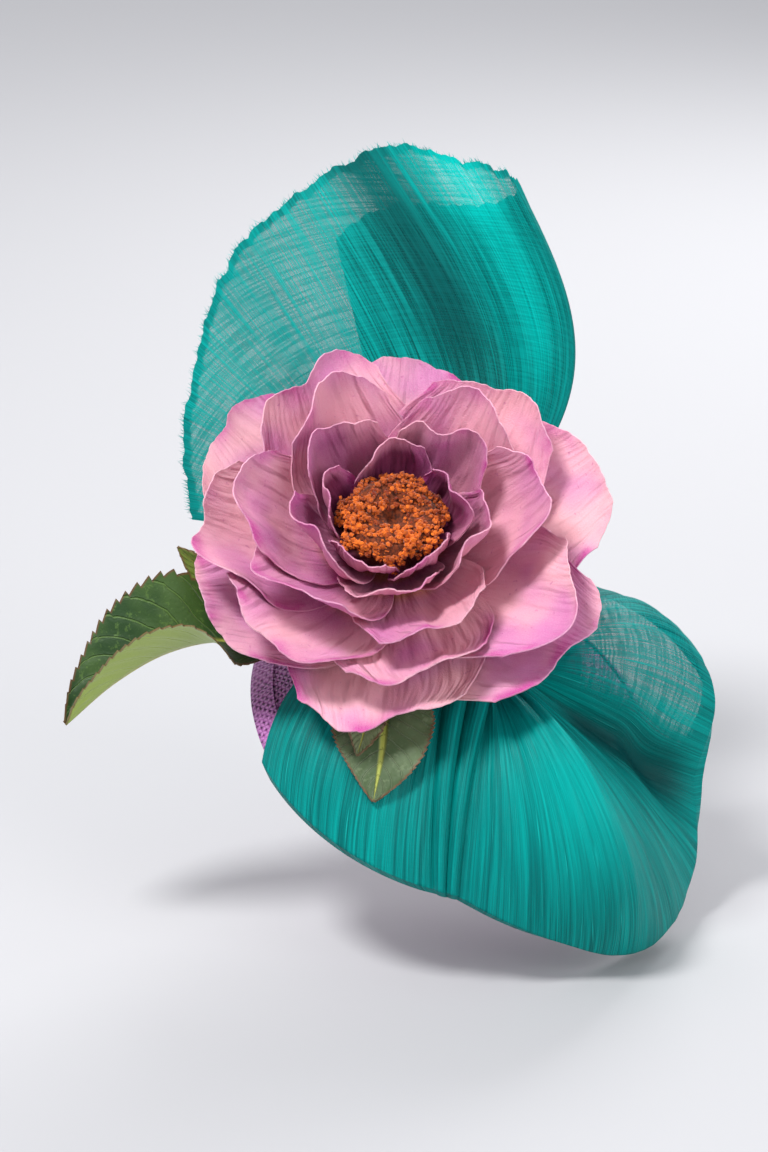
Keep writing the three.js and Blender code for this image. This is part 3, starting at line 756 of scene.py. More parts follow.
def fin_painted_light_and_shade(u, v):
    """The pressed crease: a painted highlight on its right side and a painted shade on its left side."""
    high = smooth((v - 0.3) / 0.3)
    return (0.75 * bump_at(u, 0.525, 0.045) - 0.7 * bump_at(u, 0.425, 0.035)) * high


fin = cloth("fin_silk", fin_surface, 320, 120, silk_thickness, {"dense": fin_dense, "painted_light_and_shade": fin_painted_light_and_shade})
dress(fin, silk, "headpiece", "silk_abaca", "fin")
hair_count = 430


def fray_hairs():
    """Short loose fibre ends along the fin's raw edge, each a thin three-sided spike."""
    chance = np.random.default_rng(11)
    points, faces = [], []
    for share in np.sort(chance.uniform(0.0, 0.62, hair_count)):
        tip = fin_surface(np.array([share]), np.array([1.0]))[0]
        inside = fin_surface(np.array([share]), np.array([0.97]))[0]
        beside = fin_surface(np.array([share + 0.002]), np.array([1.0]))[0]
        out = (tip - inside) / np.linalg.norm(tip - inside)
        side = (beside - tip) / np.linalg.norm(beside - tip)
        up = np.cross(out, side)
        width = chance.uniform(0.08, 0.2) * mm
        lean = chance.normal(0, 0.45)
        end = tip + (out + lean * side + chance.normal(0, 0.25) * up) * chance.uniform(0.6, 2.2) * mm
        first = len(points)
        root = tip - out * 0.5 * mm
        points += [root + side * width, root - side * width, root + up * width, end]
        faces += [(first, first + 1, first + 3), (first + 1, first + 2, first + 3)]
        faces += [(first + 2, first, first + 3), (first + 1, first, first + 2)]
    mesh = bpy.data.meshes.new("fin_fray")
    mesh.from_pydata([tuple(p) for p in points], [], faces)
    return object_of("fin_fray", mesh)


def make_outward(piece):
    """Turns every face of a closed piece to point out."""
    edit_whole(piece)
    bpy.ops.mesh.normals_make_consistent(inside=False)
    bpy.ops.object.mode_set(mode="OBJECT")


def plain_fibre_material(name, dark, light, roughness, scale):
    """Thread, tape or loose fibre: two tones in fine streaks."""
    made, tree, shader = new_material(name, roughness, 0.2)
    where = add(tree, "ShaderNodeTexCoord").outputs["Object"]
    grain = noise(tree, where, scale, 3.0)
    tree.links.new(blend_colour(tree, ramp(tree, grain, 0.3, 0.7), dark, light), shader.inputs["Base Color"])
    add_bump(tree, shader, grain, 0.1 * mm)
    return made


fray = fray_hairs()
make_outward(fray)
loose_silk = plain_fibre_material("loose_silk", (0.0, 0.19, 0.18), (0.0, 0.40, 0.37), 0.6, 900)
dress(fray, loose_silk, "headpiece", "silk_abaca")


# ---- Rose ----
# Twenty-eight petals die-cut from stiffened polyester satin, shaded by hand from a yellow claw to
# a magenta edge, heat-curled and glued in five rings to a moulded receptacle on a wired stem.
rose_lean = math.radians(40)
stem_length = 34 * mm
stem_radius = 1.6 * mm
stem_foot = on_dome(136, 38 * mm, stem_radius + 2.2 * mm)
rose_axis = np.array([0, -math.sin(rose_lean), math.cos(rose_lean)])
rose = frame_along(stem_foot + stem_length * rose_axis, rose_axis)
petal_thickness = 0.42 * mm
petal_claw = 3.8
petal_twist = 1.75

# Each ring: its profile's four Bezier points (distance out, height), half width of a petal, where
# the petals point and their share of the full length, how far their rims wave and curl back, and
# how many waves go round.
petal_rings = [
    dict(profile=[(6, 2), (17, 2), (20, 10), (20.5, 23)], half=12.5, point=[20, 92, 164, 236, 308],
         length=[1, 1, 1, 0.9, 0.9], wave=2.6, curl=-0.6, waves=(4, 7, 11)),
    dict(profile=[(6, -2), (18, -2.5), (27, 7), (28, 27)], half=18, point=[56, 128, 200, 272, 344],
         length=[1, 1, 1, 0.84, 0.97], wave=3.8, curl=1.8, waves=(3, 7, 12)),
    dict(profile=[(6, -6), (22, -7), (38, 4), (42, 25)], half=23, point=[8, 52, 118, 174, 220, 292],
         length=[1, 1, 1, 1, 0.92, 0.88], wave=4.2, curl=3.2, waves=(4, 7, 12)),
    dict(profile=[(6, -10), (28, -12), (50, -1), (55, 16)], half=28, point=[52, 118, 178, 222, 280, 330],
         length=[1, 1, 0.97, 0.90, 0.86, 1], wave=4.4, curl=3.8, waves=(5, 8, 13)),
    dict(profile=[(6, -14.4), (30, -17.6), (56, -10.5), (66, 3)], half=33,
         point=[24, 86, 140, 200, 267, 324], length=[1, 0.94, 0.96, 0.86, 0.86, 0.97],
         wave=3.6, curl=3.0, waves=(4, 9, 14)),
]


def bezier(points, t):
    s = 1 - t
    weights = np.stack([s ** 3, 3 * s * s * t, 3 * s * t * t, t ** 3], -1)
    return weights @ np.array(points, float)


def petal_surface(ring, turn, length, seed):
    """One petal of a ring, from its claw to its rim. It slips over one neighbour and under the
    other, its rim waves and curls back, and a shallow cleft and creases set it apart."""
    chance = np.random.default_rng(seed)
    cleft = chance.uniform(0.0, 0.075)
    cleft_at = chance.uniform(-0.25, 0.25)

    def at(u, v):
        side = 2 * u - 1
        uneven = 0.020 * wander(2.6 * side, seed) + 0.006 * wander(15 * side, seed + 1)
        uneven = uneven - cleft * bump_at(side, cleft_at, 0.26)
        t = length * v * (1 - 0.14 * side ** 2 + uneven * smooth((v - 0.5) / 0.5))
        here = bezier(ring["profile"], t)
        ahead = bezier(ring["profile"], t + 1e-3) - here
        ahead /= np.linalg.norm(ahead, axis=-1, keepdims=True)
        radius, height = here[..., 0], here[..., 1]
        reach = mix(petal_claw, ring["half"], np.sin(0.5 * math.pi * np.minimum(1, v / 0.72)))
        narrowed = reach * (1 - 0.22 * smooth((v - 0.72) / 0.28))
        swing = side * narrowed / radius
        angle = math.radians(turn) + swing
        rim = smooth((t - 0.45) / 0.55)
        lift = petal_twist * swing + 1.5 * side * np.abs(side) * rim
        for share, count in zip((0.50, 0.42, 0.26), ring["waves"]):
            lift = lift + share * ring["wave"] * rim * np.sin(count * angle + count * ring["half"])
        curl = ring["curl"] * (0.8 + 0.5 * np.sin(3 * angle + ring["half"]))
        lift = lift - curl * smooth((t - 0.66) / 0.34) ** 1.6
        belly = np.sin(math.pi * np.clip(t, 0, 1))
        lift = lift + 0.30 * wander(26 * angle + 2 * t, seed + 3) * belly * smooth((t - 0.2) / 0.4)
        lift = lift + 1.1 * wander(3.4 * side + 2 * t, seed + 2) * belly * (1 - side ** 2)
        flat = radius - lift * ahead[..., 1]
        up = height + lift * ahead[..., 0]
        local = np.stack([flat * np.cos(angle), flat * np.sin(angle), up], -1)
        return placed(rose, local * mm)

    return at


petal_group, petal_in, petal_out = group_of(
    "dyed_and_shaded_satin",
    [("Vector", "NodeSocketVector"), ("Flat", "NodeSocketVector"), ("Along", "NodeSocketFloat"),
     ("Edge", "NodeSocketFloat"), ("Deep", "NodeSocketColor"), ("Pale", "NodeSocketColor"),
     ("Lilac", "NodeSocketColor")],
    [("Color", "NodeSocketColor"), ("Height", "NodeSocketFloat")],
)


def dyed_and_shaded_satin(tree):
    where, along, edge = petal_in["Vector"], petal_in["Along"], petal_in["Edge"]
    cloud = noise(tree, where, 34.0, 2.0)
    wash = noise(tree, where, 75.0, 3.0)
    grain = noise(tree, where, 2600.0, 2.0)
    speck = ramp(tree, noise(tree, where, 620.0, 1.0), 0.70, 0.76)
    colour = blend_colour(tree, ramp(tree, cloud, 0.36, 0.66), petal_in["Pale"], petal_in["Lilac"])
    # Darker towards the claw: partly dye, partly painted shade deep in the cup.
    near_claw = ramp(tree, along, 0.14, 0.62, 1.0, 0.0)
    colour = blend_colour(tree, maths(tree, "MULTIPLY", near_claw, 0.75), colour, petal_in["Deep"])
    yellow = ramp(tree, along, 0.14, 0.42, 1.0, 0.0)
    colour = blend_colour(tree, yellow, colour, (0.80, 0.36, 0.03))
    band = maths(tree, "MULTIPLY", ramp(tree, edge, 0.4, 8.0, 1.0, 0.0), ramp(tree, wash, 0.42, 0.62))
    band = maths(tree, "MULTIPLY", band, ramp(tree, cloud, 0.40, 0.58, 0.25, 1.0))
    colour = blend_colour(tree, maths(tree, "MULTIPLY", band, 0.90), colour, (0.60, 0.03, 0.32))
    colour = blend_colour(tree, maths(tree, "MULTIPLY", speck, 0.35), colour, (0.50, 0.05, 0.28))
    colour = blend_colour(tree, ramp(tree, grain, 0.25, 0.8, 0.0, 0.16), colour, (0.95, 0.80, 0.86))
    colour = blend_colour(tree, ramp(tree, edge, 0.04, 0.22, 0.3, 0.0), colour, (0.88, 0.60, 0.66))
    tree.links.new(colour, petal_out["Color"])
    wrinkle = noise(tree, stretched(tree, petal_in["Flat"], (210, 34, 1)), 1.0, 2.0)
    height = maths(tree, "ADD", maths(tree, "MULTIPLY", grain, 0.10), maths(tree, "MULTIPLY", wash, 0.5))
    tree.links.new(maths(tree, "ADD", height, wrinkle), petal_out["Height"])


dyed_and_shaded_satin(petal_group)


def petal_material(level):
    """The inner rings are coloured deeper than the outer ones, partly dye and partly painted shade of the deep
    cup, and most of all inside the cup, where their inside faces get a painted shade that thins towards the cut
    edge.
    """
    share = level / (len(petal_rings) - 1)
    made, tree, shader = new_material(f"petal_ring_{level + 1}", 0.72, 0.05)
    shader.inputs["Specular IOR Level"].default_value = 0.12
    inputs = {
        "Vector": add(tree, "ShaderNodeTexCoord").outputs["Object"],
        "Flat": add(tree, "ShaderNodeUVMap").outputs[0],
        "Along": mask_of(tree, "along"),
        "Edge": mask_of(tree, "edge"),
        "Deep": (mix(0.30, 0.74, share), mix(0.008, 0.14, share), mix(0.12, 0.31, share), 1),
        "Pale": (mix(0.80, 0.92, share), mix(0.30, 0.50, share), mix(0.44, 0.55, share), 1),
        "Lilac": (mix(0.60, 0.72, share), mix(0.12, 0.26, share), mix(0.38, 0.52, share), 1),
    }
    dyed_and_shaded = use_group(tree, petal_group, inputs)
    # Painted shade of the deep cup on the inside faces of the inner rings, lighter towards the cut edge.
    inside = maths(tree, "MULTIPLY", mask_of(tree, "wrong_side"), mix(0.90, 0.0, min(1, 1.8 * share)))
    inside = maths(tree, "MULTIPLY", inside, ramp(tree, mask_of(tree, "edge"), 1.0, 7.0, 0.35, 1.0))
    colour = blend_colour(tree, inside, dyed_and_shaded["Color"], (0.13, 0.002, 0.042))
    tree.links.new(colour, shader.inputs["Base Color"])
    add_bump(tree, shader, dyed_and_shaded["Height"], 2.6 * mm)
    glow = add(tree, "ShaderNodeBsdfTranslucent", {"Color": colour})
    lit = add(tree, "ShaderNodeMixShader", {0: 0.18, 1: shader.outputs[0], 2: glow.outputs[0]})
    tree.links.new(lit.outputs[0], tree.nodes["Material Output"].inputs["Surface"])
    return made


for level, ring in enumerate(petal_rings):
    finish = petal_material(level)
    for i, turn in enumerate(ring["point"]):
        node = f"petal_ring{level + 1}_{i + 1}"
        seed = 100 * level + 7 * i
        surface = petal_surface(ring, turn, ring["length"][i], seed)
        petal = cloth(f"satin_{node}", surface, 60, 46, petal_thickness)
        dress(petal, finish, "headpiece", "petal_cloth", node)


# ---- Stamens ----
# A pad of orange-brown flock crumbs glued round the middle of the receptacle, with a dark hollow
# at its centre: hundreds of small broken grains on a rounded pad.
crumb_count = 1700
crumb_reach = 16.2


def crumbs():
    bpy.ops.object.select_all(action="DESELECT")
    bpy.ops.mesh.primitive_ico_sphere_add(subdivisions=1, radius=1)
    seed_grain = bpy.context.object
    grain_points = np.array([v.co for v in seed_grain.data.vertices])
    grain_faces = np.array([list(p.vertices) for p in seed_grain.data.polygons])
    bpy.data.objects.remove(seed_grain)
    chance = np.random.default_rng(21)
    points, faces, tones = [], [], []
    for k in range(crumb_count):
        angle = chance.uniform(0, 2 * math.pi)
        ragged = 1 + 0.07 * math.sin(7 * angle) + 0.05 * math.sin(12 * angle + 1)
        out = crumb_reach * ragged * math.sqrt(chance.uniform(0.05, 1))
        clump = 1.7 * math.sin(5 * angle + 0.5 * out) * math.sin(0.8 * out + 2 * angle)
        top = 7.6 + 7.0 * math.sin(math.pi * min(1, out / 20) ** 0.95) + clump
        middle = np.array([out * math.cos(angle), 0.92 * out * math.sin(angle), top + chance.normal(0, 0.7)])
        size = chance.uniform(0.4, 1.05) * chance.uniform(0.55, 1.3, (len(grain_points), 1))
        faces.append(grain_faces + len(grain_points) * k)
        points.append(middle + grain_points * size)
        # The last term is painted shade: crumbs towards the top and back of the pad, in the petals' shadow, are
        # darker.
        tone = 0.45 * chance.uniform(0, 1) + 0.25 * (clump > 0) + 0.3 * smooth(0.5 - middle[1] / 24)
        tones.append(np.full(len(grain_points), tone))
    mesh = bpy.data.meshes.new("stamen_crumbs")
    mesh.from_pydata(placed(rose, np.concatenate(points) * mm).tolist(), [], np.concatenate(faces).tolist())
    mesh.attributes.new("tone", "FLOAT", "POINT").data.foreach_set("value", np.concatenate(tones))
    return object_of("stamen_crumbs", mesh)


def flock_material():
    made, tree, shader = new_material("orange_flock", 0.95, 0.3)
    fuzz = noise(tree, add(tree, "ShaderNodeTexCoord").outputs["Object"], 1500.0, 3.0)
    tone = maths(tree, "ADD", mask_of(tree, "tone"), maths(tree, "SUBTRACT", fuzz, 0.5))
    colour = blend_colour(tree, ramp(tree, tone, 0.05, 0.95), (0.19, 0.018, 0.001), (0.74, 0.155, 0.006))
    tree.links.new(colour, shader.inputs["Base Color"])
    add_bump(tree, shader, fuzz, 0.4 * mm)
    return made


flock = flock_material()
dress(crumbs(), flock, "headpiece", "stamens", "stamen_cluster")


def lathe_piece(name, rows, place, sides=40):
    """A round piece: a circle, extruded and sized ring by ring, from bottom to top."""
    bpy.ops.object.select_all(action="DESELECT")
    bpy.ops.mesh.primitive_circle_add(vertices=sides, radius=rows[0][0], fill_type="NGON")
    made = bpy.context.object
    made.name = name
    made.data.name = name
    bpy.ops.object.mode_set(mode="EDIT")
    bpy.ops.mesh.select_all(action="SELECT")
    bpy.ops.transform.translate(value=(0, 0, rows[0][1]))
    for (before, low), (radius, high) in zip(rows, rows[1:]):
        bpy.ops.mesh.extrude_region_move(TRANSFORM_OT_translate={"value": (0, 0, high - low)})
        share = radius / before
        bpy.ops.transform.resize(value=(share, share, 1), center_override=(0, 0, high))
    bpy.ops.mesh.select_all(action="SELECT")
    bpy.ops.mesh.normals_make_consistent(inside=False)
    bpy.ops.object.mode_set(mode="OBJECT")
    bpy.ops.object.shade_smooth_by_angle(angle=math.radians(45))
    for vertex in made.data.vertices:
        vertex.co = placed(place, np.array(vertex.co))
    return made


stamen_pad = lathe_piece(
    "stamen_pad",
    [(7.5 * mm, 5.6 * mm), (12.4 * mm, 9 * mm), (13.6 * mm, 12.4 * mm), (11.5 * mm, 14.8 * mm),
     (6.5 * mm, 14.6 * mm), (2.6 * mm, 11.5 * mm), (1.2 * mm, 9.5 * mm)],
    rose,
)
pad_flock = plain_fibre_material("pad_flock", (0.045, 0.008, 0.002), (0.20, 0.035, 0.004), 0.95, 1200)
dress(stamen_pad, pad_flock, "headpiece", "stamens")


# ---- Receptacle, calyx and stem ----
# The receptacle and the calyx are moulded in soft green plastic and push on to the stem, a steel
# wire spun with waxed paper tape. The stem's foot is bound to the base with thread.
green_plastic = plain_fibre_material("moulded_green", (0.13, 0.22, 0.045), (0.22, 0.32, 0.08), 0.5, 160)
refinish("receptacle", green_plastic)

calyx_top = -16.4 * mm
calyx = lathe_piece(
    "calyx_cup",
    [(2.2 * mm, calyx_top - 7 * mm), (3.6 * mm, calyx_top - 6.9 * mm), (4.4 * mm, calyx_top - 6.2 * mm),
     (5.6 * mm, calyx_top - 4.6 * mm), (8.0 * mm, calyx_top - 3.4 * mm), (11.3 * mm, calyx_top - 1.7 * mm),
     (10.6 * mm, calyx_top - 1.1 * mm), (7 * mm, calyx_top - 2.1 * mm), (1 * mm, calyx_top - 2.5 * mm)],
    rose,
)
dress(calyx, green_plastic, "headpiece", "stem_plastic", "calyx")

sepal_length = 19 * mm
sepal_half = 3.6 * mm


def sepal_surface(turn):
    def at(u, v):
        side = 2 * u - 1
        width = sepal_half * np.maximum(0.05, np.sin(math.pi * (0.12 + 0.88 * v) ** 0.75) ** 0.8)
        x = 5.2 * mm + sepal_length * v
        y = side * width
        up = calyx_top - 3.6 * mm + 1.6 * mm * np.sin(2.6 * v) + 0.25 * side ** 2 * width - 2.2 * mm * v ** 2
        angle = math.radians(turn)
        right = x * np.cos(angle) - y * np.sin(angle)
        back = x * np.sin(angle) + y * np.cos(angle)
        return placed(rose, np.stack([right, back, up], -1))

    return at


# The calyx's five sepals are moulded with it.
sepal_material = plain_fibre_material("moulded_sepal", (0.055, 0.115, 0.022), (0.12, 0.21, 0.05), 0.65, 420)
for i in range(5):
    sepal = cloth(f"sepal_{i + 1}", sepal_surface(18 + 72 * i), 10, 26, 0.35 * mm)
    dress(sepal, sepal_material, "headpiece", "stem_plastic")


def wire(name, points, radius, cyclic=False, round_steps=2):
    """A round wire or thread along a line of points, made a mesh."""
    bpy.ops.object.select_all(action="DESELECT")
    bpy.ops.curve.primitive_nurbs_path_add()
    made = bpy.context.object
    made.name = name
    made.data.name = name
    made.data.splines.clear()
    spline = made.data.splines.new("POLY")
    spline.points.add(len(points) - 1)
    spline.points.foreach_set("co", np.c_[points, np.ones(len(points))].reshape(-1))
    spline.use_cyclic_u = cyclic
    made.data.dimensions = "3D"
    made.data.bevel_depth = radius
    made.data.bevel_resolution = round_steps
    made.data.use_fill_caps = True
    bpy.ops.object.convert(target="MESH")
    bpy.ops.object.shade_smooth_by_angle(angle=math.radians(60))
    return bpy.context.object


def smooth_line(rows, steps):
    return line_through(rows)(np.linspace(0, 1, steps + 1))


def tape_material():
    made, tree, shader = new_material("stem_paper_tape", 0.55)
    where = add(tree, "ShaderNodeTexCoord").outputs["Object"]
    rings = add(tree, "ShaderNodeTexWave", {"Vector": where, "Scale": 130.0, "Distortion": 3.0},
                bands_direction="DIAGONAL").outputs["Fac"]
    colour = blend_colour(tree, rings, (0.055, 0.10, 0.028), (0.13, 0.20, 0.06))
    tree.links.new(colour, shader.inputs["Base Color"])
    add_bump(tree, shader, rings, 0.25 * mm)
    return made


tape = tape_material()
thread = plain_fibre_material("sewing_thread", (0.010, 0.10, 0.095), (0.02, 0.19, 0.18), 0.7, 1600)
outward = (stem_foot - crown[0]) / np.linalg.norm(stem_foot - crown[0])
forward = np.array([0, -1.0, 0]) + outward[1] * outward
forward /= np.linalg.norm(forward)
stem_top = placed(rose, (0, 0, calyx_top - 7.3 * mm))
stem_route = [
    stem_top,
    stem_foot + 5 * mm * rose_axis,
    stem_foot + 3.5 * mm * forward,
    stem_foot + 15 * mm * forward - 0.5 * mm * outward,
]
stem = wire("taped_stem", smooth_line(stem_route, 40), stem_radius)
dress(stem, tape, "headpiece", "stem_tape", "flower_stem")


def binding_coil(name, place, wide, deep, turns, thread_radius, node):
    """Turns of thread drawn tight round something: a close helix about z."""
    steps = 18 * turns
    angle = np.linspace(0, 2 * math.pi * turns, steps + 1)
    rise = (np.linspace(0, 1, steps + 1) - 0.5) * 2.1 * thread_radius * turns
    line = placed(place, np.stack([wide * np.cos(angle), deep * np.sin(angle), rise], -1))
    made = wire(name, line, thread_radius, round_steps=1)
    dress(made, thread, "headpiece", "thread", node)


def along_line(rows, share):
    """The place at a share along a line, with z along it."""
    line = line_through(rows)
    here, ahead = line(np.array([share, share + 1e-3]))
    return frame_along(here, ahead - here)


thread_radius = 0.2 * mm
thread_gap = 0.35 * mm
thread_clear = thread_gap + thread_radius
stem_sewn = along_line(stem_route, 0.86)
stem_ring = stem_radius + thread_clear
binding_coil("stem_thread", stem_sewn, stem_ring, stem_ring, 6, thread_radius, "stem_binding")

fin_knot_middle = placed(fin_place, (0, (fin_neck / 2 + 1) * mm, 0))
fin_knot_axes = fin_place[1][[0, 2, 1]] * np.array([[1], [-1], [1]])
fin_knot = (fin_knot_middle, fin_knot_axes)
binding_coil("fin_thread", fin_knot, 15.0 * mm, 4.4 * mm, 7, 0.3 * mm, "fin_binding")


# ---- Leaf sprays ----
# Cloth leaves, printed and heat-pressed with veins, with a saw-toothed edge dyed brown. Each
# spray has one large and one small leaf on a taped wire that bends where thread holds it down.
leaf_thickness = 0.45 * mm
head_centre = crown[0]
leaf_group, leaf_in, leaf_out = group_of(
    "pressed_leaf",
    [("Across", "NodeSocketFloat"), ("Along", "NodeSocketFloat"), ("Edge", "NodeSocketFloat"),
     ("Vector", "NodeSocketVector"), ("Veins", "NodeSocketFloat")],
    [("Vein", "NodeSocketFloat"), ("Midrib", "NodeSocketFloat"), ("Fleck", "NodeSocketFloat"),
     ("Tooth", "NodeSocketFloat"), ("Height", "NodeSocketFloat")],
)


def pressed_leaf(tree):
    side = maths(tree, "ABSOLUTE", maths(tree, "SUBTRACT", leaf_in["Across"], 0.5))
    wander_noise = noise(tree, leaf_in["Vector"], 90.0)
    slant = maths(tree, "SUBTRACT", leaf_in["Along"], maths(tree, "MULTIPLY", side, 0.42))
    slant = maths(tree, "ADD", slant, maths(tree, "MULTIPLY", wander_noise, 0.05))
    wave = maths(tree, "SINE", maths(tree, "MULTIPLY", slant, leaf_in["Veins"]))
    vein = ramp(tree, wave, 0.90, 0.995)
    midrib = ramp(tree, side, 0.012, 0.05, 1.0, 0.0)
    fine = noise(tree, leaf_in["Vector"], 900.0, 3.0)
    fleck = ramp(tree, noise(tree, leaf_in["Vector"], 420.0, 3.0, 0.7), 0.56, 0.66)
    pressed = maths(tree, "SUBTRACT", maths(tree, "MULTIPLY", fine, 0.35), maths(tree, "MULTIPLY", vein, 0.9))
    pressed = maths(tree, "SUBTRACT", pressed, midrib)
    tree.links.new(vein, leaf_out["Vein"])
    tree.links.new(midrib, leaf_out["Midrib"])
    tree.links.new(fleck, leaf_out["Fleck"])
    tree.links.new(ramp(tree, leaf_in["Edge"], 0.25, 1.1, 1.0, 0.0), leaf_out["Tooth"])
    tree.links.new(pressed, leaf_out["Height"])


pressed_leaf(leaf_group)


def leaf_material(name, face, light, back, roughness, printed_inside):
    """face and light are the printed side's two greens, back is the plain underside, and
    printed_inside says that the printed side is the sheet's right side."""
    made, tree, shader = new_material(name, roughness, 0.1)
    inputs = {
        "Across": mask_of(tree, "across"),
        "Along": mask_of(tree, "along"),
        "Edge": mask_of(tree, "edge"),
        "Vector": add(tree, "ShaderNodeTexCoord").outputs["Object"],
        "Veins": 70.0,
    }
    print_on = use_group(tree, leaf_group, inputs)
    patch = ramp(tree, noise(tree, inputs["Vector"], 60.0), 0.4, 0.7)
    upper = blend_colour(tree, patch, face, [mix(a, b, 0.35) for a, b in zip(face, light)])
    upper = blend_colour(tree, maths(tree, "MULTIPLY", print_on["Fleck"], 0.45), upper, light)
    upper = blend_colour(tree, maths(tree, "MULTIPLY", print_on["Vein"], 0.5), upper, light)
    upper = blend_colour(tree, print_on["Midrib"], upper, (0.38, 0.42, 0.07))
    under = blend_colour(tree, maths(tree, "MULTIPLY", print_on["Vein"], 0.4), back, [c * 1.5 for c in back])
    under = blend_colour(tree, print_on["Midrib"], under, (0.50, 0.52, 0.12))
    sides = (upper, under) if printed_inside else (under, upper)
    colour = blend_colour(tree, mask_of(tree, "wrong_side"), *sides)
    colour = blend_colour(tree, maths(tree, "MULTIPLY", print_on["Tooth"], 0.75), colour, (0.17, 0.065, 0.03))
    tree.links.new(colour, shader.inputs["Base Color"])
    add_bump(tree, shader, print_on["Height"], 0.4 * mm)
    glow = add(tree, "ShaderNodeBsdfTranslucent", {"Color": colour})
    lit = add(tree, "ShaderNodeMixShader", {0: 0.15, 1: shader.outputs[0], 2: glow.outputs[0]})
    tree.links.new(lit.outputs[0], tree.nodes["Material Output"].inputs["Surface"])
    return made


def leaf_surface(midrib_rows, sideways, half, fold_at, draped, teeth, tooth_depth, seed):
    """A toothed leaf along its midrib. fold_at lifts its two halves, and a draped leaf lies
    round the head where the other kind stays flat across."""
    midrib = line_through(midrib_rows)
    sideways = np.array(sideways, float)

    def at(u, v):
        side = 2 * u - 1
        middle = midrib(v)
        tangent = midrib(np.minimum(v + 1e-3, 1)) - midrib(np.minimum(v, 1 - 1e-3))
        tangent /= np.linalg.norm(tangent, axis=-1, keepdims=True)
        across = sideways - (tangent @ sideways)[..., None] * tangent
        across /= np.linalg.norm(across, axis=-1, keepdims=True)
        up = np.cross(across, tangent)
        saw = (teeth * v + 0.25 * np.sign(side)) % 1
        notch = 1 - tooth_depth * saw * np.abs(side) ** 6 * smooth(v / 0.15)
        width = half * np.maximum(0.03, np.sin(math.pi * np.clip(v, 0, 1) ** 0.8) ** 0.85) * notch
        point = middle + across * (side * width)[..., None]
        raised = fold_at(v) * width * np.abs(side)
        pressed = 0.35 * mm * np.sin(70 * (v - 0.21 * np.abs(side))) * np.abs(side) * (1 - np.abs(side) ** 3)
        raised = raised + pressed + 0.8 * mm * wander(6 * v + 2 * side, seed) * np.abs(side) ** 2
        if draped:
            height = np.linalg.norm(middle - head_centre, axis=-1)
            away = point - head_centre
            away /= np.linalg.norm(away, axis=-1, keepdims=True)
            return head_centre + away * (height + raised)[..., None]
        return point + up * raised[..., None]

    return at


stalk_play = 0.3 * mm
thread_sink = 0.2 * mm


def leaf_spray(side, pivot, stalk_rows, stalk_radius, leaves, body, finish, slot):
    """A taped stalk, the thread that sews it down, and its leaves. The stalk bends at its pivot,
    the second of its four points, and the loops stand square to it there."""
    stalk = wire(f"{side}_taped_stalk", smooth_line(stalk_rows, 24), stalk_radius)
    dress(stalk, tape, body, "stem_tape", f"{side}_stalk")
    ahead = along_line(stalk_rows, 1 / 3)[1][2]
    rise = pivot - head_centre
    lift = np.linalg.norm(rise) - cover_radius
    rise = rise - (rise @ ahead) * ahead
    rise /= np.linalg.norm(rise)
    ring = stalk_radius + thread_clear + stalk_play
    bottom = lift + thread_sink
    loop = (pivot + rise * (ring - bottom) / 2, np.array([np.cross(rise, ahead), rise, ahead]))
    binding_coil(f"{side}_thread", loop, ring, (ring + bottom) / 2, 5, thread_radius, f"{side}_stalk_binding")
    for size, surface, across, along in leaves:
        leaf = cloth(f"{side}_cloth_leaf_{size}", surface, across, along, leaf_thickness)
        dress(leaf, finish[size], body, slot, f"{side}_leaf_{size}")


def steps_from(place, rows):
    """Places that are given in mm from one place."""
    return [place + np.array(row) * mm for row in rows]


left_pivot = on_dome(178, 50 * mm, 6 * mm)
left_stalk = steps_from(left_pivot, [(3, 1.2, -0.3), (0, 0, 0), (-6, -2.5, 0.5), (-13, -2, -1.5)])
left_large, left_small = steps_from(left_stalk[-1], [(-1.2, 0, 0.4), (1, 9, 4.6)])
left_large_rows = steps_from(
    left_large, [(0, 0, 0), (-14, -1, 4), (-30, -3.5, 1.5), (-46, -6.5, -7), (-61, -11, -19)])
left_small_rows = steps_from(left_small, [(0, 0, 0), (-16, 3, 12), (-30, 5, 25)])
left_finish = {
    "large": leaf_material(
        "leaf_dark_green", (0.018, 0.060, 0.010), (0.13, 0.24, 0.045), (0.36, 0.48, 0.085), 0.38, True),
    "small": leaf_material(
        "leaf_yellow_green", (0.13, 0.20, 0.022), (0.26, 0.33, 0.06), (0.22, 0.28, 0.05), 0.5, True),
}
left_leaves = [
    ("large", leaf_surface(left_large_rows, (0, 0.96, 0.28), 15 * mm,
                           lambda v: 1.3 * smooth((v - 0.12) / 0.3), False, 25, 0.085, 31), 36, 220),
    ("small", leaf_surface(left_small_rows, (0.85, 0.15, 0.5), 7 * mm,
                           lambda v: 0.3, False, 10, 0.13, 32), 24, 100),
]
leaf_spray("left", left_pivot, left_stalk, 0.9 * mm, left_leaves, "left_spray", left_finish, "leaf_bright")

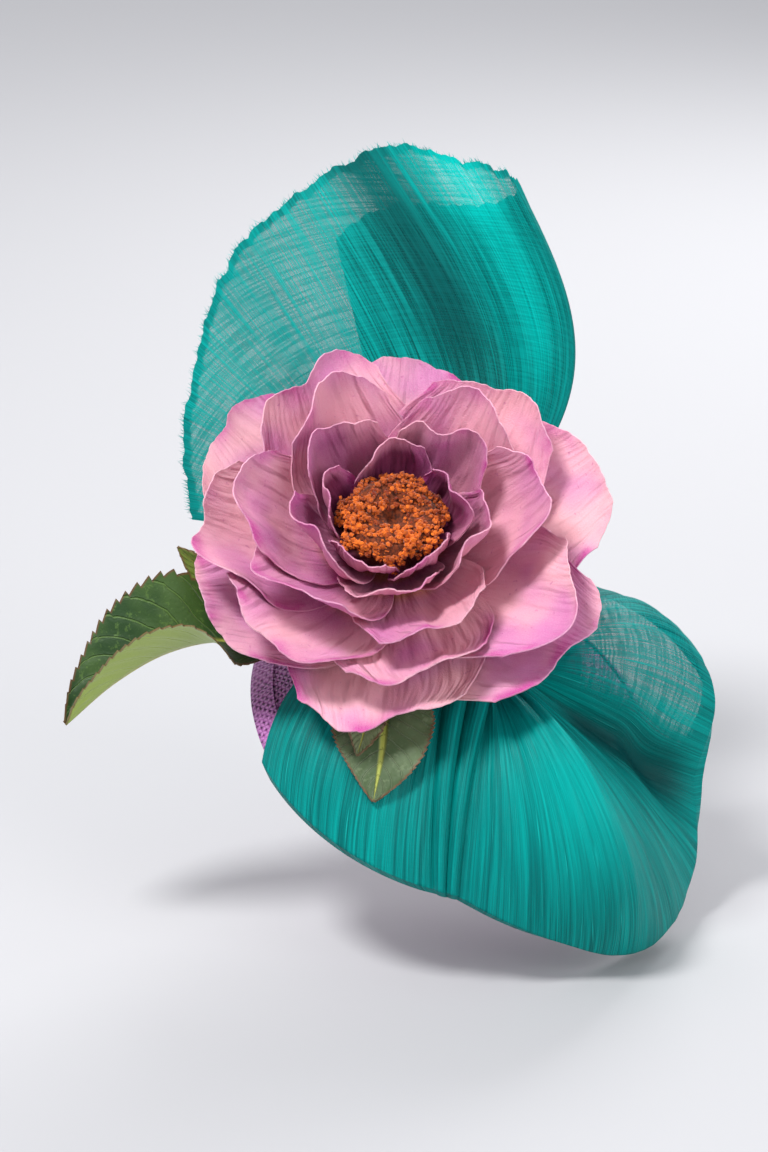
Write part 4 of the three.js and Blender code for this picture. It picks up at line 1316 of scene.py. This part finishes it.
front_lift = 6.4 * mm
front_pivot = on_dome(-172, 22 * mm, front_lift - 1 * mm)
front_stalk = [
    on_dome(177, 21 * mm, front_lift - 1 * mm),
    front_pivot,
    on_dome(-165, 24 * mm, front_lift),
    on_dome(-160, 26 * mm, front_lift),
]
front_large_rows = [
    on_dome(-158, 27 * mm, front_lift),
    on_dome(-141, 37 * mm, front_lift + 0.4 * mm),
    on_dome(-128, 48 * mm, front_lift + 0.4 * mm),
    on_dome(-121, 60 * mm, front_lift),
]
front_small_rows = [
    on_dome(-147, 37 * mm, 8.2 * mm),
    on_dome(-139, 45 * mm, 8.9 * mm),
    on_dome(-133, 53 * mm, 8.7 * mm),
]
front_finish = {
    "large": leaf_material(
        "leaf_grey_green", (0.060, 0.105, 0.035), (0.19, 0.25, 0.13), (0.16, 0.21, 0.10), 0.6, False),
    "small": leaf_material(
        "leaf_soft_green", (0.15, 0.20, 0.085), (0.26, 0.31, 0.16), (0.20, 0.25, 0.12), 0.62, False),
}
front_across = (0.85, -0.1, 0.3)
front_leaves = [
    ("large", leaf_surface(front_large_rows, front_across, 16.5 * mm,
                           lambda v: 0.03, True, 26, 0.06, 33), 36, 200),
    ("small", leaf_surface(front_small_rows, front_across, 6 * mm,
                           lambda v: 0.05, True, 9, 0.10, 34), 20, 90),
]
leaf_spray(
    "front", front_pivot, front_stalk, 0.7 * mm, front_leaves, "front_spray", front_finish, "leaf_grey")


# ---- Comb ----
# Nine hairpins of steel wire, both legs of each coiled round a straight spine wire, with a small
# loop at the spine's end. The spine is lashed under the front of the base in four places.
comb_depth = 6.5 * mm
comb_length = 50 * mm
spine_radius = 0.9 * mm
tine_radius = 0.45 * mm
tine_length = 36 * mm
tine_count = 9
hairpin_width = 2.6 * mm
hairpin_bend = hairpin_width / 2
hairpin_leg = tine_length - hairpin_bend
coil_radius = spine_radius + tine_radius * 0.9
coil_creep = 0.12 * mm
end_loop_radius = 1.7 * mm
end_loop_reach = 1.4 * mm
lashing_count = 4
lashing_radius = 0.22 * mm
comb_arc = rim_arc - 9 * mm
comb_place = on_dome(-112, comb_arc, -(cover_radius - head_radius) - comb_depth)
comb_out = (comb_place - head_centre) / np.linalg.norm(comb_place - head_centre)
comb_joint = next(j for j in frame["joints"] if j["name"] == "comb_rock")
comb_along = -np.array(comb_joint["axis"], float)
comb_along -= (comb_along @ comb_out) * comb_out
comb_along /= np.linalg.norm(comb_along)
comb_frame = (comb_place, np.array([comb_along, np.cross(comb_out, comb_along), comb_out]))
tine_pitch = (comb_length - hairpin_width) / (tine_count - 1) * 0.98
comb_middles = [(i - (tine_count - 1) / 2) * tine_pitch for i in range(tine_count)]
comb_lines = [np.array([(x, 0, 0) for x in np.linspace(-comb_length / 2, comb_length / 2, 40)])]
for middle in comb_middles:
    down = [(-hairpin_bend, hairpin_leg * s, 0) for s in np.linspace(0.06, 1, 20)]
    around = [(-hairpin_bend * math.cos(a), hairpin_leg + hairpin_bend * math.sin(a), 0)
              for a in np.linspace(0.3, math.pi - 0.3, 9)]
    up = [(hairpin_bend, hairpin_leg * s, 0) for s in np.linspace(1, 0.06, 20)]
    line = np.array(down + around + up)
    line[:, 0] += middle
    head_curve = line[:, 1] ** 2 / (2 * (head_radius - comb_depth))
    over_spine = coil_radius * np.exp(-line[:, 1] / (3 * mm))
    line[:, 2] -= head_curve - over_spine
    comb_lines.append(line)
loop_turn = np.linspace(0, 2 * math.pi, 30)
loop_x = comb_length / 2 + end_loop_reach + end_loop_radius * np.cos(loop_turn)
comb_lines.append(np.stack([loop_x, end_loop_radius * np.sin(loop_turn), 0 * loop_turn], -1))
comb_parts = [
    wire(f"comb_wire_{k}", placed(comb_frame, line), spine_radius if k == 0 else tine_radius)
    for k, line in enumerate(comb_lines)
]
coil_angle = np.linspace(0, 3.4 * math.pi, 34)
for i, middle in enumerate(comb_middles):
    for end in (-1, 1):
        x = middle + end * hairpin_width / 2 + end * coil_creep * coil_angle
        line = np.stack([x, coil_radius * np.cos(coil_angle), coil_radius * np.sin(coil_angle)], -1)
        comb_parts.append(wire(f"comb_coil_{i}_{end}", placed(comb_frame, line), tine_radius, round_steps=1))
bpy.ops.object.select_all(action="DESELECT")
for part in comb_parts:
    part.select_set(True)
bpy.context.view_layer.objects.active = comb_parts[0]
bpy.ops.object.join()
comb = comb_parts[0]
comb.name = "hairpin_comb"
comb.data.name = "hairpin_comb"
dress(comb, steel, "comb", "wire", "wire_comb")

for i in range(lashing_count):
    between = round((i + 0.5) / lashing_count * (tine_count - 1)) - 0.5
    x = (between - (tine_count - 1) / 2) * tine_pitch
    layer_at = math.sqrt(head_radius ** 2 - x ** 2) - (head_radius - comb_depth)
    top = layer_at - binding_thickness - 4 * layer_gap - 0.4 * mm
    bottom = -(spine_radius + thread_gap + 0.8 * mm)
    place = (placed(comb_frame, (x, 0, (top + bottom) / 2)), comb_frame[1][[1, 2, 0]])
    wide = spine_radius + thread_gap + 0.4 * mm
    deep = (top - bottom) / 2
    binding_coil(f"comb_thread_{i + 1}", place, wide, deep, 4, lashing_radius, f"comb_lashing_{i + 1}")
